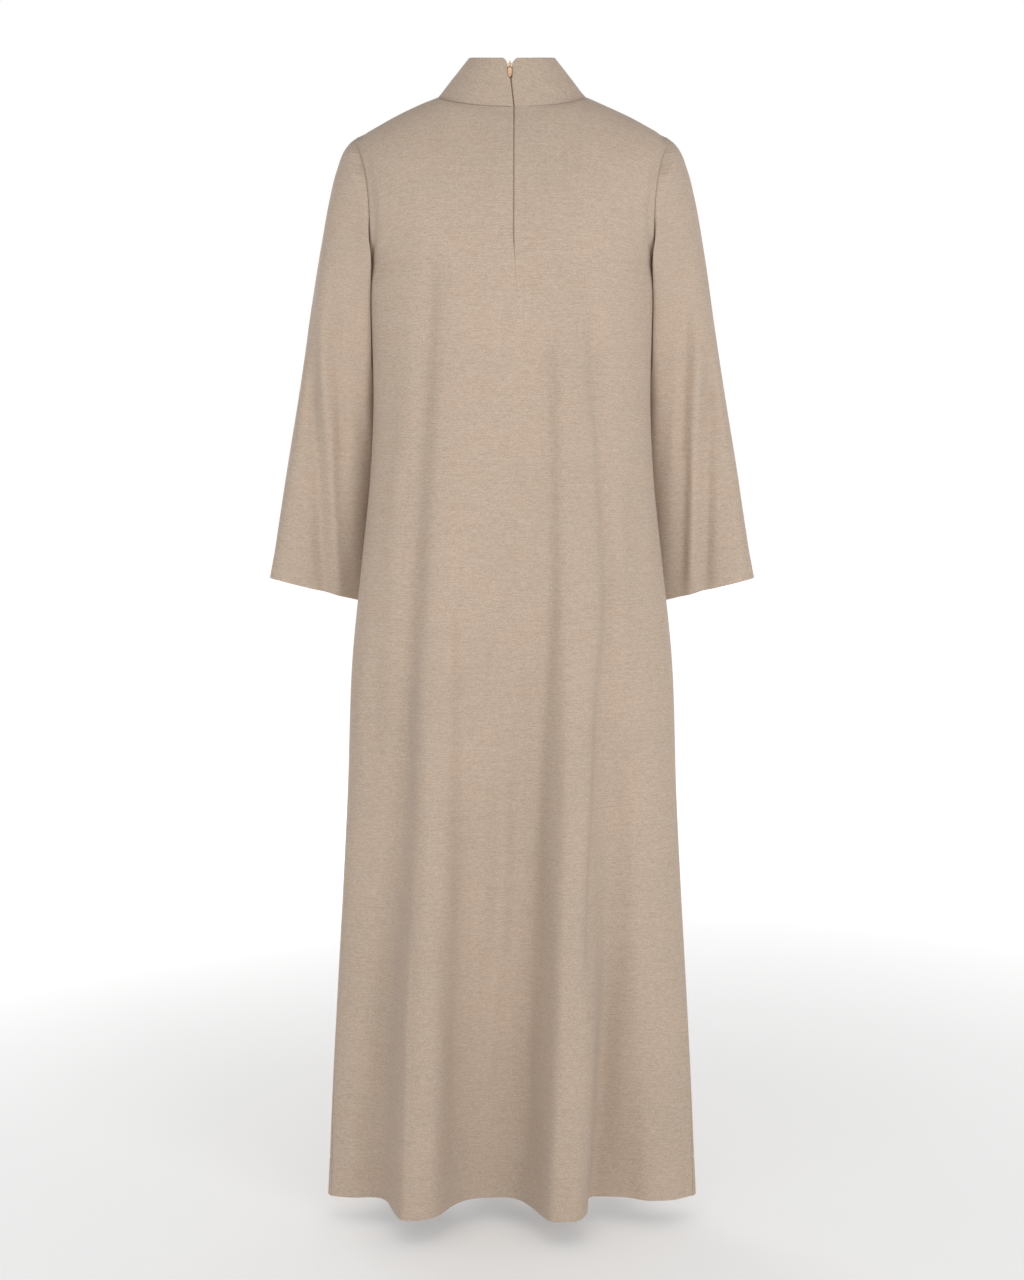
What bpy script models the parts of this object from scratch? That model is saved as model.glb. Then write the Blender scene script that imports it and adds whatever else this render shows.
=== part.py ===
"""Draped dress: long, wide sleeved, with a funnel collar and a zip at the centre back.

The dress is filled out as if worn, with nothing inside it. Its frame has +Z up, the front facing
-Y and the wearer's left at +X. The origin is the middle of the neck base, level with the two
points where the shoulder seams meet the collar. Every size below is in millimetres, and `drop` is
the distance below the origin. The meshes are built in metres.

Each cloth piece is one wall: a grid of points on the garment's outer face, moved inwards by the
wall's thickness along the face's normals and closed round its edges. Neighbours end 0.3 mm apart.
"""
import math

import bmesh
import bpy
import numpy as np

MM = 0.001

WALL = 2.0
SEAM_GAP = 0.3

# Grid of the body panels: steps from the middle to the neck point, from there to the side, and
# from the shoulder down to the underarm
NECK_STEPS = 9
SIDE_STEPS = 13
YOKE_STEPS = 12
COLUMN_BIAS = 0.85

# Neck, shoulders and armholes
NECK_HALF = 92.0
SHOULDER_HALF = 192.0
SHOULDER_DROP = 49.5
SHOULDER_BOW = 2.5
UNDERARM_DROP = 204.0
HEM_DROP = 1403.0
SHOULDER_ROUND = 0.45
NECK_BLEND = 7.0
YOKE_SQUARENESS = 6.0

# One row for each face of the body: which way it looks, where the neckline lies, how deep the
# armhole's curve goes, and how the face rises to the neckline
FACE_COLUMNS = ("side", "neck_depth", "neck_drop", "armhole_depth", "rise", "rise_neck")
FACES = {
    "back": (1.0, 62.0, 18.0, 58.0, 3.0, 2.2),
    "front": (-1.0, 75.0, 40.0, 52.0, 2.6, 2.2),
}

# Outline of the armhole, seen from behind
ARMHOLE_COLUMNS = ("drop", "half_width")
ARMHOLE_ROWS = [
    (49.5, 192.0),
    (62.0, 189.0),
    (75.0, 184.5),
    (93.0, 179.5),
    (120.0, 175.5),
    (150.0, 174.0),
    (180.0, 175.2),
    (204.0, 177.3),
]

# Sections of the body from the underarms to the hem. Depths are those of the troughs, folds rise
# from them, and seam_angle is where the side seam lies, counted from the middle of the back
BODY_COLUMNS = ("drop", "half_width", "back", "front", "back_fold", "front_fold", "squareness", "seam_angle")
BODY_ROWS = [
    (204.0, 177.3, 104.0, 116.0, 0.0, 0.0, 2.30, 90.0),
    (247.0, 175.2, 103.3, 117.0, 1.0, 0.0, 2.30, 90.0),
    (310.0, 171.9, 96.0, 114.0, 3.0, 1.0, 2.32, 90.0),
    (372.0, 171.0, 91.0, 107.0, 6.0, 3.0, 2.35, 90.0),
    (422.0, 172.7, 89.0, 102.0, 8.0, 5.0, 2.38, 90.0),
    (473.0, 176.2, 87.0, 98.0, 11.0, 8.0, 2.42, 90.0),
    (573.0, 187.1, 82.0, 92.0, 16.0, 14.0, 2.50, 90.0),
    (688.0, 199.7, 75.0, 84.0, 24.0, 23.0, 2.60, 90.0),
    (882.0, 211.0, 58.0, 66.0, 43.0, 42.0, 2.75, 90.0),
    (1013.0, 218.6, 44.0, 51.0, 57.0, 56.0, 2.85, 90.0),
    (1146.0, 226.9, 31.0, 37.0, 70.0, 68.0, 3.20, 86.5),
    (1280.0, 234.6, 21.0, 26.0, 80.0, 77.0, 3.80, 82.5),
    (1347.0, 237.9, 17.0, 22.0, 84.0, 81.0, 4.10, 80.5),
    (1403.0, 241.0, 15.0, 20.0, 87.0, 84.0, 4.30, 79.0),
]

# Large folds. Places are shares of the half width at the underarm, half way and at the hem. Plus
# and minus are the widths of the flanks on the two sides of the crest, at the underarm and at the
# hem, crisp is how sharply each one turns at the hem, and lean is how far the crest is pushed
# sideways over its flank there
FOLD_COLUMNS = ("share", "top", "middle", "hem", "plus_top", "plus", "minus_top", "minus",
                "crisp_plus", "crisp_minus", "lean")
BACK_FOLDS = [
    (1.00, 0.42, 0.50, 0.505, 12.0, 33.0, 43.0, 41.0, 6.0, 4.0, 0.0),
    (1.02, -0.38, -0.365, -0.262, 24.0, 41.0, 45.0, 29.0, 6.0, 10.0, -10.0),
    (0.10, 0.86, 0.88, 0.90, 20.0, 24.0, 20.0, 26.0, 3.0, 3.0, 0.0),
    (0.22, -0.80, -0.80, -0.80, 30.0, 34.0, 30.0, 36.0, 4.0, 4.0, 0.0),
]
FRONT_FOLDS = [
    (0.95, -0.46, -0.50, -0.53, 36.0, 44.0, 20.0, 34.0, 4.0, 5.0, 0.0),
    (1.00, 0.02, 0.03, 0.07, 24.0, 36.0, 30.0, 40.0, 5.0, 4.0, 6.0),
    (0.90, 0.50, 0.55, 0.58, 16.0, 32.0, 36.0, 40.0, 6.0, 4.0, 0.0),
]
FOLD_TOP_CRISP = 2.2

# Heights of the body's grid below the underarm; the dart under the zip ends on the first one
DART_DROP = 245.0
SKIRT_TOP_DROP = 300.0
SKIRT_STEPS = 14

# The opening at the centre back: where it runs and half its width. Heights are above the origin
SLIT_COLUMNS = ("drop", "x", "half_gap")
SLIT_ROWS = [
    (-37.0, 2.7, 2.7),
    (-23.0, 2.3, 2.7),
    (-15.0, 1.2, 0.9),
    (18.0, -2.4, 0.8),
    (177.0, -1.8, 0.8),
    (245.0, -5.5, 0.0),
    (420.0, 0.0, 0.0),
]

# Funnel collar: its top edge
COLLAR_TOP_HALF = 53.5
COLLAR_TOP_BACK = 45.0
COLLAR_TOP_FRONT = 54.0
COLLAR_SIDE_HEIGHT = 48.0
COLLAR_BACK_HEIGHT = 41.5
COLLAR_FRONT_HEIGHT = 36.0
COLLAR_CORNER_DROP = 0.12
COLLAR_RISES = (0.0, 0.3, 0.56, 0.7, 0.86, 1.0)
NECKLINE_ROUND = 1.3

# Sleeve: the line over the arm and the line under it, from the armhole to the cuff, and half the
# depth of the tube behind and in front of them
SLEEVE_COLUMNS = ("share", "outer_x", "outer_y", "outer_drop", "inner_x", "inner_y", "inner_drop",
                  "back_half", "front_half")
SLEEVE_ROWS = [
    (0.00, 192.0, 0.0, 49.5, 177.3, 0.0, 204.0, 58.0, 52.0),
    (0.03, 205.5, -0.5, 61.5, 178.2, -3.0, 216.0, 57.0, 52.0),
    (0.08, 217.5, -1.0, 88.5, 176.6, -9.0, 236.0, 54.0, 51.0),
    (0.14, 226.5, -2.0, 122.0, 175.4, -14.0, 262.0, 51.0, 49.0),
    (0.25, 238.5, -5.0, 185.0, 172.6, -20.5, 311.0, 47.0, 46.0),
    (0.36, 249.0, -8.0, 247.0, 171.2, -28.5, 358.0, 44.0, 43.0),
    (0.47, 259.5, -12.0, 310.0, 170.6, -36.5, 405.0, 42.0, 41.0),
    (0.58, 270.3, -17.0, 372.0, 170.6, -45.5, 453.0, 40.0, 39.0),
    (0.69, 281.4, -21.0, 434.0, 171.0, -54.5, 500.0, 38.0, 37.0),
    (0.80, 292.3, -25.0, 498.0, 171.6, -63.5, 548.0, 37.0, 36.0),
    (0.91, 303.2, -28.5, 561.0, 172.4, -72.0, 596.0, 36.0, 35.0),
    (1.00, 310.6, -31.0, 597.0, 173.0, -80.0, 636.0, 35.0, 34.0),
]
SLEEVE_TILT = 0.07
SLEEVE_RINGS = 14
SLEEVE_RING_BIAS = 1.5
ARMHOLE_FADE = 0.3

# Folds down the sleeve: where they lie round it in degrees from its top towards the back, how far
# they stand out at the cuff, how wide they are, and where along the sleeve they begin
SLEEVE_FOLD_GROWTH = 0.7
SLEEVE_FOLD_COLUMNS = ("angle", "depth", "width", "start")
SLEEVE_FOLDS = [
    (88.0, 7.0, 17.0, 0.25),
    (58.0, -4.0, 14.0, 0.30),
    (122.0, -9.0, 17.0, 0.35),
    (232.0, -7.0, 16.0, 0.30),
    (264.0, 6.0, 17.0, 0.25),
]

# Zip: tape behind the opening, slider at its top and a pull tab that swings on it
TAPE_HALF = 12.0
TAPE_WALL = 1.0
TAPE_CLEAR = 0.7
TAPE_TOP_HEIGHT = 32.5
TAPE_END_DROP = 192.0
TAPE_STEPS = 18
SLIDER_HEIGHT = 32.0
SLIDER_WIDTH = 4.4
SLIDER_LENGTH = 8.0
SLIDER_THICK = 2.0
SLIDER_PROUD = 0.2
SLIDER_SUNK = 0.5
SLIDER_STEP = 0.1
NOSE_WIDTH = 1.8
NOSE_LENGTH = 3.0
NOSE_THICK = 1.5
NOSE_INTO_BODY = 0.8
ARCH_WIDTH = 1.4
ARCH_BAR = 0.9
WINDOW_LENGTH = 3.2
WINDOW_HEIGHT = 2.0
PULL_THICK = 0.9
PULL_LENGTH = 15.0
PULL_HALF_TOP = 1.9
PULL_HALF_WIDE = 2.7
PULL_HOLE_HALF = 1.3
PULL_HOLE_LENGTH = 4.4
PULL_SQUARENESS = 0.5
PULL_SIDES = 24

SHARP_EDGE = math.radians(50.0)

FABRIC_COLOUR = (0.50, 0.40, 0.305, 1.0)
TAPE_COLOUR = (0.16, 0.11, 0.08, 1.0)
BRASS_COLOUR = (0.62, 0.47, 0.27, 1.0)


def named(columns, rows):
    """Turn the rows of a table into one array for each named column."""
    return {name: np.array(values, dtype=float) for name, values in zip(columns, zip(*rows))}


FACE = {name: dict(zip(FACE_COLUMNS, row)) for name, row in FACES.items()}
ARMHOLE = named(ARMHOLE_COLUMNS, ARMHOLE_ROWS)
BODY = named(BODY_COLUMNS, BODY_ROWS)
SLIT = named(SLIT_COLUMNS, SLIT_ROWS)
SLEEVE = named(SLEEVE_COLUMNS, SLEEVE_ROWS)
FOLDS = {
    "back": [dict(zip(FOLD_COLUMNS, row)) for row in BACK_FOLDS],
    "front": [dict(zip(FOLD_COLUMNS, row)) for row in FRONT_FOLDS],
}
NECK_SHARE = NECK_HALF / SHOULDER_HALF
NECK_ANGLE = math.asin(NECK_SHARE)


def smooth(table, column, place, key="drop"):
    """Read a column at a place between the table's rows, along a smooth curve through them."""
    keys = table[key]
    values = table[column]
    slopes = np.gradient(values, keys)
    row = np.clip(np.searchsorted(keys, place) - 1, 0, len(keys) - 2)
    step = keys[row + 1] - keys[row]
    share = np.clip((place - keys[row]) / step, 0.0, 1.0)
    ease = share * share * (3.0 - 2.0 * share)
    start = share * (1.0 - share) ** 2 * step * slopes[row]
    end = share * share * (1.0 - share) * step * slopes[row + 1]
    return values[row] + (values[row + 1] - values[row]) * ease + start - end


def straight(table, column, place, key="drop"):
    """Read a column at a place between the table's rows, along straight lines."""
    return np.interp(place, table[key], table[column])


def bow(share, power):
    """Superellipse: 1 at share 0, falling to 0 at share 1."""
    return np.maximum(0.0, 1.0 - np.abs(share) ** power) ** (1.0 / power)


def fold_sum(face, x, half_width, drop):
    """Height and sideways push of the large folds at x, as shares of the section's fold depth."""
    down = (drop - UNDERARM_DROP) / (HEM_DROP - UNDERARM_DROP)
    height = np.zeros_like(x)
    push = np.zeros_like(x)
    for fold in FOLDS[face]:
        place = (fold["top"] * (1.0 - down) * (1.0 - 2.0 * down) + fold["middle"] * 4.0 * down * (1.0 - down)
                 + fold["hem"] * down * (2.0 * down - 1.0))
        reach = x - place * half_width
        plus = fold["plus_top"] + (fold["plus"] - fold["plus_top"]) * down
        minus = fold["minus_top"] + (fold["minus"] - fold["minus_top"]) * down
        wide = np.where(reach > 0.0, plus, minus)
        crisp = np.where(reach > 0.0, fold["crisp_plus"], fold["crisp_minus"])
        crisp = FOLD_TOP_CRISP + (crisp - FOLD_TOP_CRISP) * down
        bump = 1.0 / (1.0 + np.abs(reach / wide) ** crisp)
        height += fold["share"] * bump
        push += fold["lean"] * down * bump
    return height, push


def ring_points(angle, drop):
    """Points of the body below the underarms. Angles are counted from the middle of the back."""
    half = smooth(BODY, "half_width", drop)
    square = smooth(BODY, "squareness", drop)
    share = np.sin(angle)
    x = half * share
    edge = bow(share, square)
    behind = np.cos(angle) > 0.0
    back_height, back_push = fold_sum("back", x, half, drop)
    front_height, front_push = fold_sum("front", x, half, drop)
    back = smooth(BODY, "back", drop) + smooth(BODY, "back_fold", drop) * back_height
    front = smooth(BODY, "front", drop) + smooth(BODY, "front_fold", drop) * front_height
    y = np.where(behind, back, -front) * edge
    x = x + np.where(behind, back_push, front_push) * edge
    return np.stack([x, y, np.full_like(x, -drop)], axis=-1)


def yoke_points(face, share, up):
    """Points of a body panel between the underarm (up = 0) and the shoulder seam (up = 1).

    Each row is a stretch of a superellipse, cut off where it reaches the armhole's depth.
    """
    look = FACE[face]
    risen = 0.5 * (1.0 - math.cos(math.pi * up))
    edge_drop = UNDERARM_DROP - (UNDERARM_DROP - SHOULDER_DROP) * risen
    half = smooth(ARMHOLE, "half_width", edge_drop)
    inner = np.minimum(np.abs(share) / NECK_SHARE, 1.0)
    outer = np.maximum(np.abs(share) - NECK_SHARE, 0.0) / (1.0 - NECK_SHARE)
    shoulder = SHOULDER_DROP * outer - 4.0 * SHOULDER_BOW * outer * (1.0 - outer)
    neckline = look["neck_drop"] * bow(inner, 2.0) ** NECKLINE_ROUND
    top_drop = np.where(np.abs(share) < NECK_SHARE, neckline, shoulder)
    top_depth = look["neck_depth"] * bow(inner, 2.0) ** (1.0 + NECK_BLEND * (1.0 - risen))
    chest = BODY[face][0]
    nearness = inner * inner * (3.0 - 2.0 * inner)
    power = look["rise"] + (look["rise_neck"] - look["rise"]) * nearness
    turn = 1.0 + (SHOULDER_ROUND - 1.0) * nearness
    middle = top_depth + (chest - top_depth) * np.maximum(0.0, 1.0 - risen ** power) ** turn
    square = BODY["squareness"][0] + YOKE_SQUARENESS * risen * risen
    cut = look["armhole_depth"] * math.sin(math.pi * up)
    full = chest * (1.0 - risen ** look["rise_neck"]) ** SHOULDER_ROUND
    edge_share = bow(cut / full, square) if cut < full else 1.0
    depth = middle * bow(share * edge_share, square)
    z = -UNDERARM_DROP + (UNDERARM_DROP - top_drop) * risen
    return np.stack([half * share, look["side"] * depth, z], axis=-1)


def panel_angles(seam_angle):
    """Column angles of a panel from its middle to its side seam, in the positive half."""
    neck = NECK_ANGLE * (np.arange(NECK_STEPS) / NECK_STEPS) ** COLUMN_BIAS
    side = NECK_ANGLE + (seam_angle - NECK_ANGLE) * np.arange(SIDE_STEPS + 1) / SIDE_STEPS
    half = np.concatenate([neck, side])
    return np.concatenate([-half[:0:-1], half])


def skirt_drops():
    """Heights of the body's rows below the underarm."""
    rest = np.linspace(SKIRT_TOP_DROP, HEM_DROP, SKIRT_STEPS)
    return [DART_DROP] + [float(drop) for drop in rest]


def follow_slit(rows, columns):
    """Move the columns near the middle sideways, so that the middle one runs along the opening."""
    middle = columns // 2
    for row in rows:
        shift = straight(SLIT, "x", -row[middle][2])
        for column in range(columns):
            nearness = max(0.0, 1.0 - abs(column - middle) / NECK_STEPS)
            row[column][0] += shift * nearness ** 2
    return rows


def panel_grid(face):
    """Rows of outer points of a body panel, from its neckline and shoulders to its hem."""
    rows = []
    share = np.sin(panel_angles(math.pi / 2))
    for step in range(YOKE_STEPS):
        rows.append(yoke_points(face, share, 1.0 - step / YOKE_STEPS))
    for drop in [UNDERARM_DROP] + skirt_drops():
        seam = math.radians(smooth(BODY, "seam_angle", drop))
        if face == "back":
            rows.append(ring_points(panel_angles(seam), drop))
        else:
            rows.append(ring_points(math.pi - panel_angles(math.pi - seam), drop))
    rows = follow_slit(rows, len(share)) if face == "back" else rows
    return rows


class Sheet:
    """Points and faces of a cloth piece's outer face, before it gets its thickness."""

    def __init__(self):
        self.points = []
        self.faces = []

    def add(self, point):
        """Add a point and return its number."""
        self.points.append(np.array(point, dtype=float))
        return len(self.points) - 1

    def grid(self, numbers, closed=False):
        """Join rows of point numbers with faces."""
        for upper, lower in zip(numbers, numbers[1:]):
            count = len(upper) if closed else len(upper) - 1
            for column in range(count):
                after = (column + 1) % len(upper)
                corners = [upper[column], upper[after], lower[after], lower[column]]
                self.faces.append(list(dict.fromkeys(corners)))


def face_normal(points, face):
    """Normal of a face, as long as twice its area."""
    total = np.zeros(3)
    for start, end in zip(face, face[1:] + face[:1]):
        total += np.cross(points[start], points[end])
    return total


def place_key(point):
    """Name of a place, equal for points that lie together."""
    return tuple(int(round(value * 100.0)) for value in point)


def shared_normals(sheets):
    """Outward normals of sheets that meet at seams, equal on both sides of each seam."""
    totals = {}
    for sheet in sheets:
        for face in sheet.faces:
            normal = face_normal(sheet.points, face)
            for number in face:
                key = place_key(sheet.points[number])
                totals[key] = totals.get(key, np.zeros(3)) + normal
    return [[totals[place_key(point)] / np.linalg.norm(totals[place_key(point)]) for point in sheet.points]
            for sheet in sheets]


def facing_out(normals, sheet, centre):
    """The same normals, turned round together if most of them point towards the upright axis at centre."""
    outwards = sum(np.dot(normal[:2], (point - centre)[:2]) for point, normal in zip(sheet.points, normals))
    return [normal if outwards > 0.0 else -normal for normal in normals]


def seam_shifts(sheets, distance):
    """Moves that open the seams between sheets: each shared point goes back into its own sheet."""
    owners = {}
    for number, sheet in enumerate(sheets):
        for point in sheet.points:
            owners.setdefault(place_key(point), set()).add(number)
    moves = []
    for sheet in sheets:
        inward = [np.zeros(3) for point in sheet.points]
        for face in sheet.faces:
            middle = np.mean([sheet.points[number] for number in face], axis=0)
            for number in face:
                inward[number] += middle - sheet.points[number]
        steps = []
        for way, point in zip(inward, sheet.points):
            at_seam = len(owners[place_key(point)]) > 1
            steps.append(distance * way / np.linalg.norm(way) if at_seam else np.zeros(3))
        moves.append(steps)
    return moves


def border_edges(faces):
    """Edges that only one face has, in that face's direction."""
    edges = {}
    for face in faces:
        for start, end in zip(face, face[1:] + face[:1]):
            edges[(start, end)] = edges.get((start, end), 0) + 1
    return [(start, end) for (start, end) in edges if (end, start) not in edges]


def material(name, colour, roughness, metallic):
    """Principled material with one plain colour."""
    made = bpy.data.materials.new(name)
    made.use_nodes = True
    shader = made.node_tree.nodes["Principled BSDF"]
    shader.inputs["Base Color"].default_value = colour
    shader.inputs["Roughness"].default_value = roughness
    shader.inputs["Metallic"].default_value = metallic
    return made


def mesh_object(name, points, faces, surface, shade_smooth):
    """Mesh object from points in millimetres, with its faces looking outwards."""
    mesh = bpy.data.meshes.new(name)
    mesh.from_pydata([tuple(float(value) * MM for value in point) for point in points], [], faces)
    shape = bmesh.new()
    shape.from_mesh(mesh)
    bmesh.ops.recalc_face_normals(shape, faces=shape.faces)
    shape.to_mesh(mesh)
    shape.free()
    mesh.materials.append(surface)
    if shade_smooth:
        mesh.shade_smooth()
        mesh.set_sharp_from_angle(angle=SHARP_EDGE)
    made = bpy.data.objects.new(name, mesh)
    bpy.context.scene.collection.objects.link(made)
    return made


def wall_object(name, sheet, normals, thickness, surface):
    """Closed wall: the sheet, the sheet moved inwards, and the rim between their edges.

    Each stretch of the rim is split from its upper outer corner, so that two rims along a seam
    that twists stay parallel.
    """
    count = len(sheet.points)
    inner = [point - thickness * normal for point, normal in zip(sheet.points, normals)]
    faces = [list(face) for face in sheet.faces]
    faces += [[number + count for number in reversed(face)] for face in sheet.faces]
    for start, end in border_edges(sheet.faces):
        if tuple(sheet.points[end][::-1]) > tuple(sheet.points[start][::-1]):
            faces += [[end, start, start + count], [end, start + count, end + count]]
        else:
            faces += [[end, start, end + count], [start, start + count, end + count]]
    return mesh_object(name, list(sheet.points) + inner, faces, surface, True)


def back_sheet():
    """Back panel: one piece, open from the neckline to the end of the dart under the zip."""
    rows = panel_grid("back")
    middle = len(rows[0]) // 2
    sheet = Sheet()
    right_half = []
    left_half = []
    for row in rows:
        numbers = [sheet.add(point) for point in row]
        gap = straight(SLIT, "half_gap", -row[middle][2])
        twin = numbers[middle]
        if gap > 0.0:
            sheet.points[numbers[middle]][0] -= gap
            twin = sheet.add(row[middle] + np.array([gap, 0.0, 0.0]))
        right_half.append(numbers[:middle + 1])
        left_half.append([twin] + numbers[middle + 1:])
    sheet.grid(right_half)
    sheet.grid(left_half)
    return sheet


def front_sheet():
    """Front panel: one piece without an opening."""
    sheet = Sheet()
    sheet.grid([[sheet.add(point) for point in row] for row in panel_grid("front")])
    for face in sheet.faces:
        face.reverse()
    return sheet


def make_body(fabric):
    """Front and back, with the seams at the sides and shoulders left 0.3 mm open."""
    back = back_sheet()
    front = front_sheet()
    sheets = [back, front]
    normals = shared_normals(sheets)
    moves = seam_shifts(sheets, 0.5 * SEAM_GAP)
    for name, sheet, facing, move in zip(("back", "front"), sheets, normals, moves):
        facing = facing_out(facing, sheet, np.zeros(3))
        sheet.points = [point + step for point, step in zip(sheet.points, move)]
        wall_object(name, sheet, facing, WALL, fabric)


def sleeve_ring(share, side):
    """Centre line, half axis from inner to outer line, and half depths of one ring of a sleeve."""
    values = {name: smooth(SLEEVE, name, share, "share") for name in SLEEVE_COLUMNS[1:]}
    outer = np.array([side * values["outer_x"], values["outer_y"], -values["outer_drop"]])
    inner = np.array([side * values["inner_x"], values["inner_y"], -values["inner_drop"]])
    return 0.5 * (outer + inner), 0.5 * (outer - inner), (values["back_half"], values["front_half"])


def sleeve_fold(angle, share):
    """How far the folds stand out from the sleeve at an angle in radians."""
    height = 0.0
    for row in SLEEVE_FOLDS:
        fold = dict(zip(SLEEVE_FOLD_COLUMNS, row))
        grown = min(1.0, max(0.0, (share - fold["start"]) / (1.0 - fold["start"])))
        reach = (math.degrees(angle) - fold["angle"]) / fold["width"]
        height += fold["depth"] * grown ** SLEEVE_FOLD_GROWTH * math.exp(-reach * reach)
    return height


def sleeve_point(angle, share, side, armhole):
    """Point of a sleeve. The angle is 0 over the arm, 90 degrees behind it and 180 under it."""
    centre, axis, halves = sleeve_ring(share, side)
    half = halves[0] if math.sin(angle) >= 0.0 else halves[1]
    across = math.cos(angle) * axis + math.sin(angle) * np.array([0.0, half, half * SLEEVE_TILT * share])
    point = centre + across * (1.0 + sleeve_fold(angle, share) / np.linalg.norm(across))
    first_centre, first_axis, first_halves = sleeve_ring(0.0, side)
    first_half = first_halves[0] if math.sin(angle) >= 0.0 else first_halves[1]
    plain = first_centre + math.cos(angle) * first_axis + math.sin(angle) * np.array([0.0, first_half, 0.0])
    fade = max(0.0, 1.0 - share / ARMHOLE_FADE) ** 2
    return point + (armhole - plain) * fade


def make_sleeve(side, fabric):
    """Sleeve: a tube from the armhole to the open cuff."""
    sheet = Sheet()
    gap = np.array([side * SEAM_GAP, 0.0, 0.0])
    rings = []
    for ring in range(SLEEVE_RINGS + 1):
        share = (ring / SLEEVE_RINGS) ** SLEEVE_RING_BIAS
        numbers = []
        for step in range(2 * YOKE_STEPS):
            face = "back" if step <= YOKE_STEPS else "front"
            up = abs(1.0 - step / YOKE_STEPS)
            armhole = yoke_points(face, np.array([side]), up)[0]
            angle = math.pi * step / YOKE_STEPS
            numbers.append(sheet.add(sleeve_point(angle, share, side, armhole) + gap))
        rings.append(numbers)
    sheet.grid(rings, closed=True)
    normals = facing_out(shared_normals([sheet])[0], sheet, sleeve_ring(0.5, side)[0])
    wall_object("sleeve_left" if side > 0.0 else "sleeve_right", sheet, normals, WALL, fabric)


def collar_point(turn, rise):
    """Point of the collar: turn is 0 at the centre back and half a turn at the centre front."""
    face = FACE["back"] if math.cos(turn) >= 0.0 else FACE["front"]
    top_depth = COLLAR_TOP_BACK if math.cos(turn) >= 0.0 else COLLAR_TOP_FRONT
    top_height = COLLAR_BACK_HEIGHT if math.cos(turn) >= 0.0 else COLLAR_FRONT_HEIGHT
    along = abs(math.cos(turn)) ** NECKLINE_ROUND
    base = np.array([NECK_HALF * math.sin(turn), face["side"] * face["neck_depth"] * abs(math.cos(turn)),
                     SEAM_GAP - face["neck_drop"] * along])
    top = np.array([COLLAR_TOP_HALF * math.sin(turn), face["side"] * top_depth * abs(math.cos(turn)),
                    COLLAR_SIDE_HEIGHT + (top_height - COLLAR_SIDE_HEIGHT) * along])
    return base + (top - base) * rise


def collar_turns():
    """Angles of the collar's columns from the centre back round to the centre back again."""
    angles = NECK_ANGLE * (np.arange(NECK_STEPS + 1) / NECK_STEPS) ** COLUMN_BIAS
    quarter = np.arcsin(np.minimum(1.0, np.sin(angles) / NECK_SHARE))
    half = np.concatenate([quarter, math.pi - quarter[-2::-1]])
    return np.concatenate([half, 2.0 * math.pi - half[-2::-1]])


def make_collar(fabric):
    """Funnel collar: a band round the neck, open at the centre back, with rounded top corners."""
    sheet = Sheet()
    turns = collar_turns()
    last = len(turns) - 1
    rows = []
    for rise in COLLAR_RISES:
        numbers = []
        for column, turn in enumerate(turns):
            corner = column in (0, last)
            point = collar_point(turn, rise * (1.0 - COLLAR_CORNER_DROP) if corner else rise)
            near = max(0.0, 1.0 - min(column, last - column) / NECK_STEPS)
            point[0] += straight(SLIT, "x", -point[2]) * near ** 2
            if corner:
                point[0] += straight(SLIT, "half_gap", -point[2]) * (1.0 if column == 0 else -1.0)
            numbers.append(sheet.add(point))
        rows.append(numbers)
    sheet.grid(rows)
    wall_object("collar", sheet, facing_out(shared_normals([sheet])[0], sheet, np.zeros(3)), WALL, fabric)


def centre_back(height, offset):
    """Point of the outer face beside the opening, at a height above the origin."""
    x = straight(SLIT, "x", -height) + offset
    base = collar_point(0.0, 0.0)
    top = collar_point(0.0, 1.0)
    if height > base[2]:
        rise = (height - base[2]) / (top[2] - base[2])
        half = NECK_HALF + (COLLAR_TOP_HALF - NECK_HALF) * rise
        return collar_point(math.asin(x / half), rise)[1]
    risen = (height + UNDERARM_DROP) / (UNDERARM_DROP - FACE["back"]["neck_drop"])
    up = math.acos(1.0 - 2.0 * min(1.0, max(0.0, risen))) / math.pi
    edge_drop = UNDERARM_DROP - (UNDERARM_DROP - SHOULDER_DROP) * min(1.0, max(0.0, risen))
    half = smooth(ARMHOLE, "half_width", edge_drop)
    return yoke_points("back", np.array([x / half]), up)[0][1]


def make_tape(surface):
    """Zip tape: a strip behind the opening, clear of the inner faces of the cloth."""
    sheet = Sheet()
    heights = np.linspace(TAPE_TOP_HEIGHT, -TAPE_END_DROP, TAPE_STEPS + 1)
    offsets = (-TAPE_HALF, -0.5 * TAPE_HALF, 0.0, 0.5 * TAPE_HALF, TAPE_HALF)
    rows = []
    for height in heights:
        middle = straight(SLIT, "x", -height)
        rows.append([sheet.add((middle + offset, centre_back(height, offset), height)) for offset in offsets])
    sheet.grid(rows)
    normals = facing_out(shared_normals([sheet])[0], sheet, np.zeros(3))
    sheet.points = [point - (WALL + TAPE_CLEAR) * normal for point, normal in zip(sheet.points, normals)]
    wall_object("zip_tape", sheet, normals, TAPE_WALL, surface)


def slider_frame():
    """Hinge centre of the pull tab, and the directions across, out of and down the collar there."""
    base = collar_point(0.0, 0.0)
    top = collar_point(0.0, 1.0)
    down = (base - top) / np.linalg.norm(base - top)
    out = np.array([0.0, -down[2], down[1]])
    rise = (SLIDER_HEIGHT - base[2]) / (top[2] - base[2])
    face = base + (top - base) * rise
    face[0] = straight(SLIT, "x", -SLIDER_HEIGHT)
    lift = SLIDER_PROUD + 0.5 * WINDOW_HEIGHT
    return face + out * lift, np.array([1.0, 0.0, 0.0]), out, down


def block(across, out, down):
    """Eight corners and six faces of a box given by its limits in the slider's directions."""
    points = [(x, o, d) for x in across for o in out for d in down]
    faces = [[0, 1, 3, 2], [4, 6, 7, 5], [0, 4, 5, 1], [2, 3, 7, 6], [0, 2, 6, 4], [1, 5, 7, 3]]
    return points, faces


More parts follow.
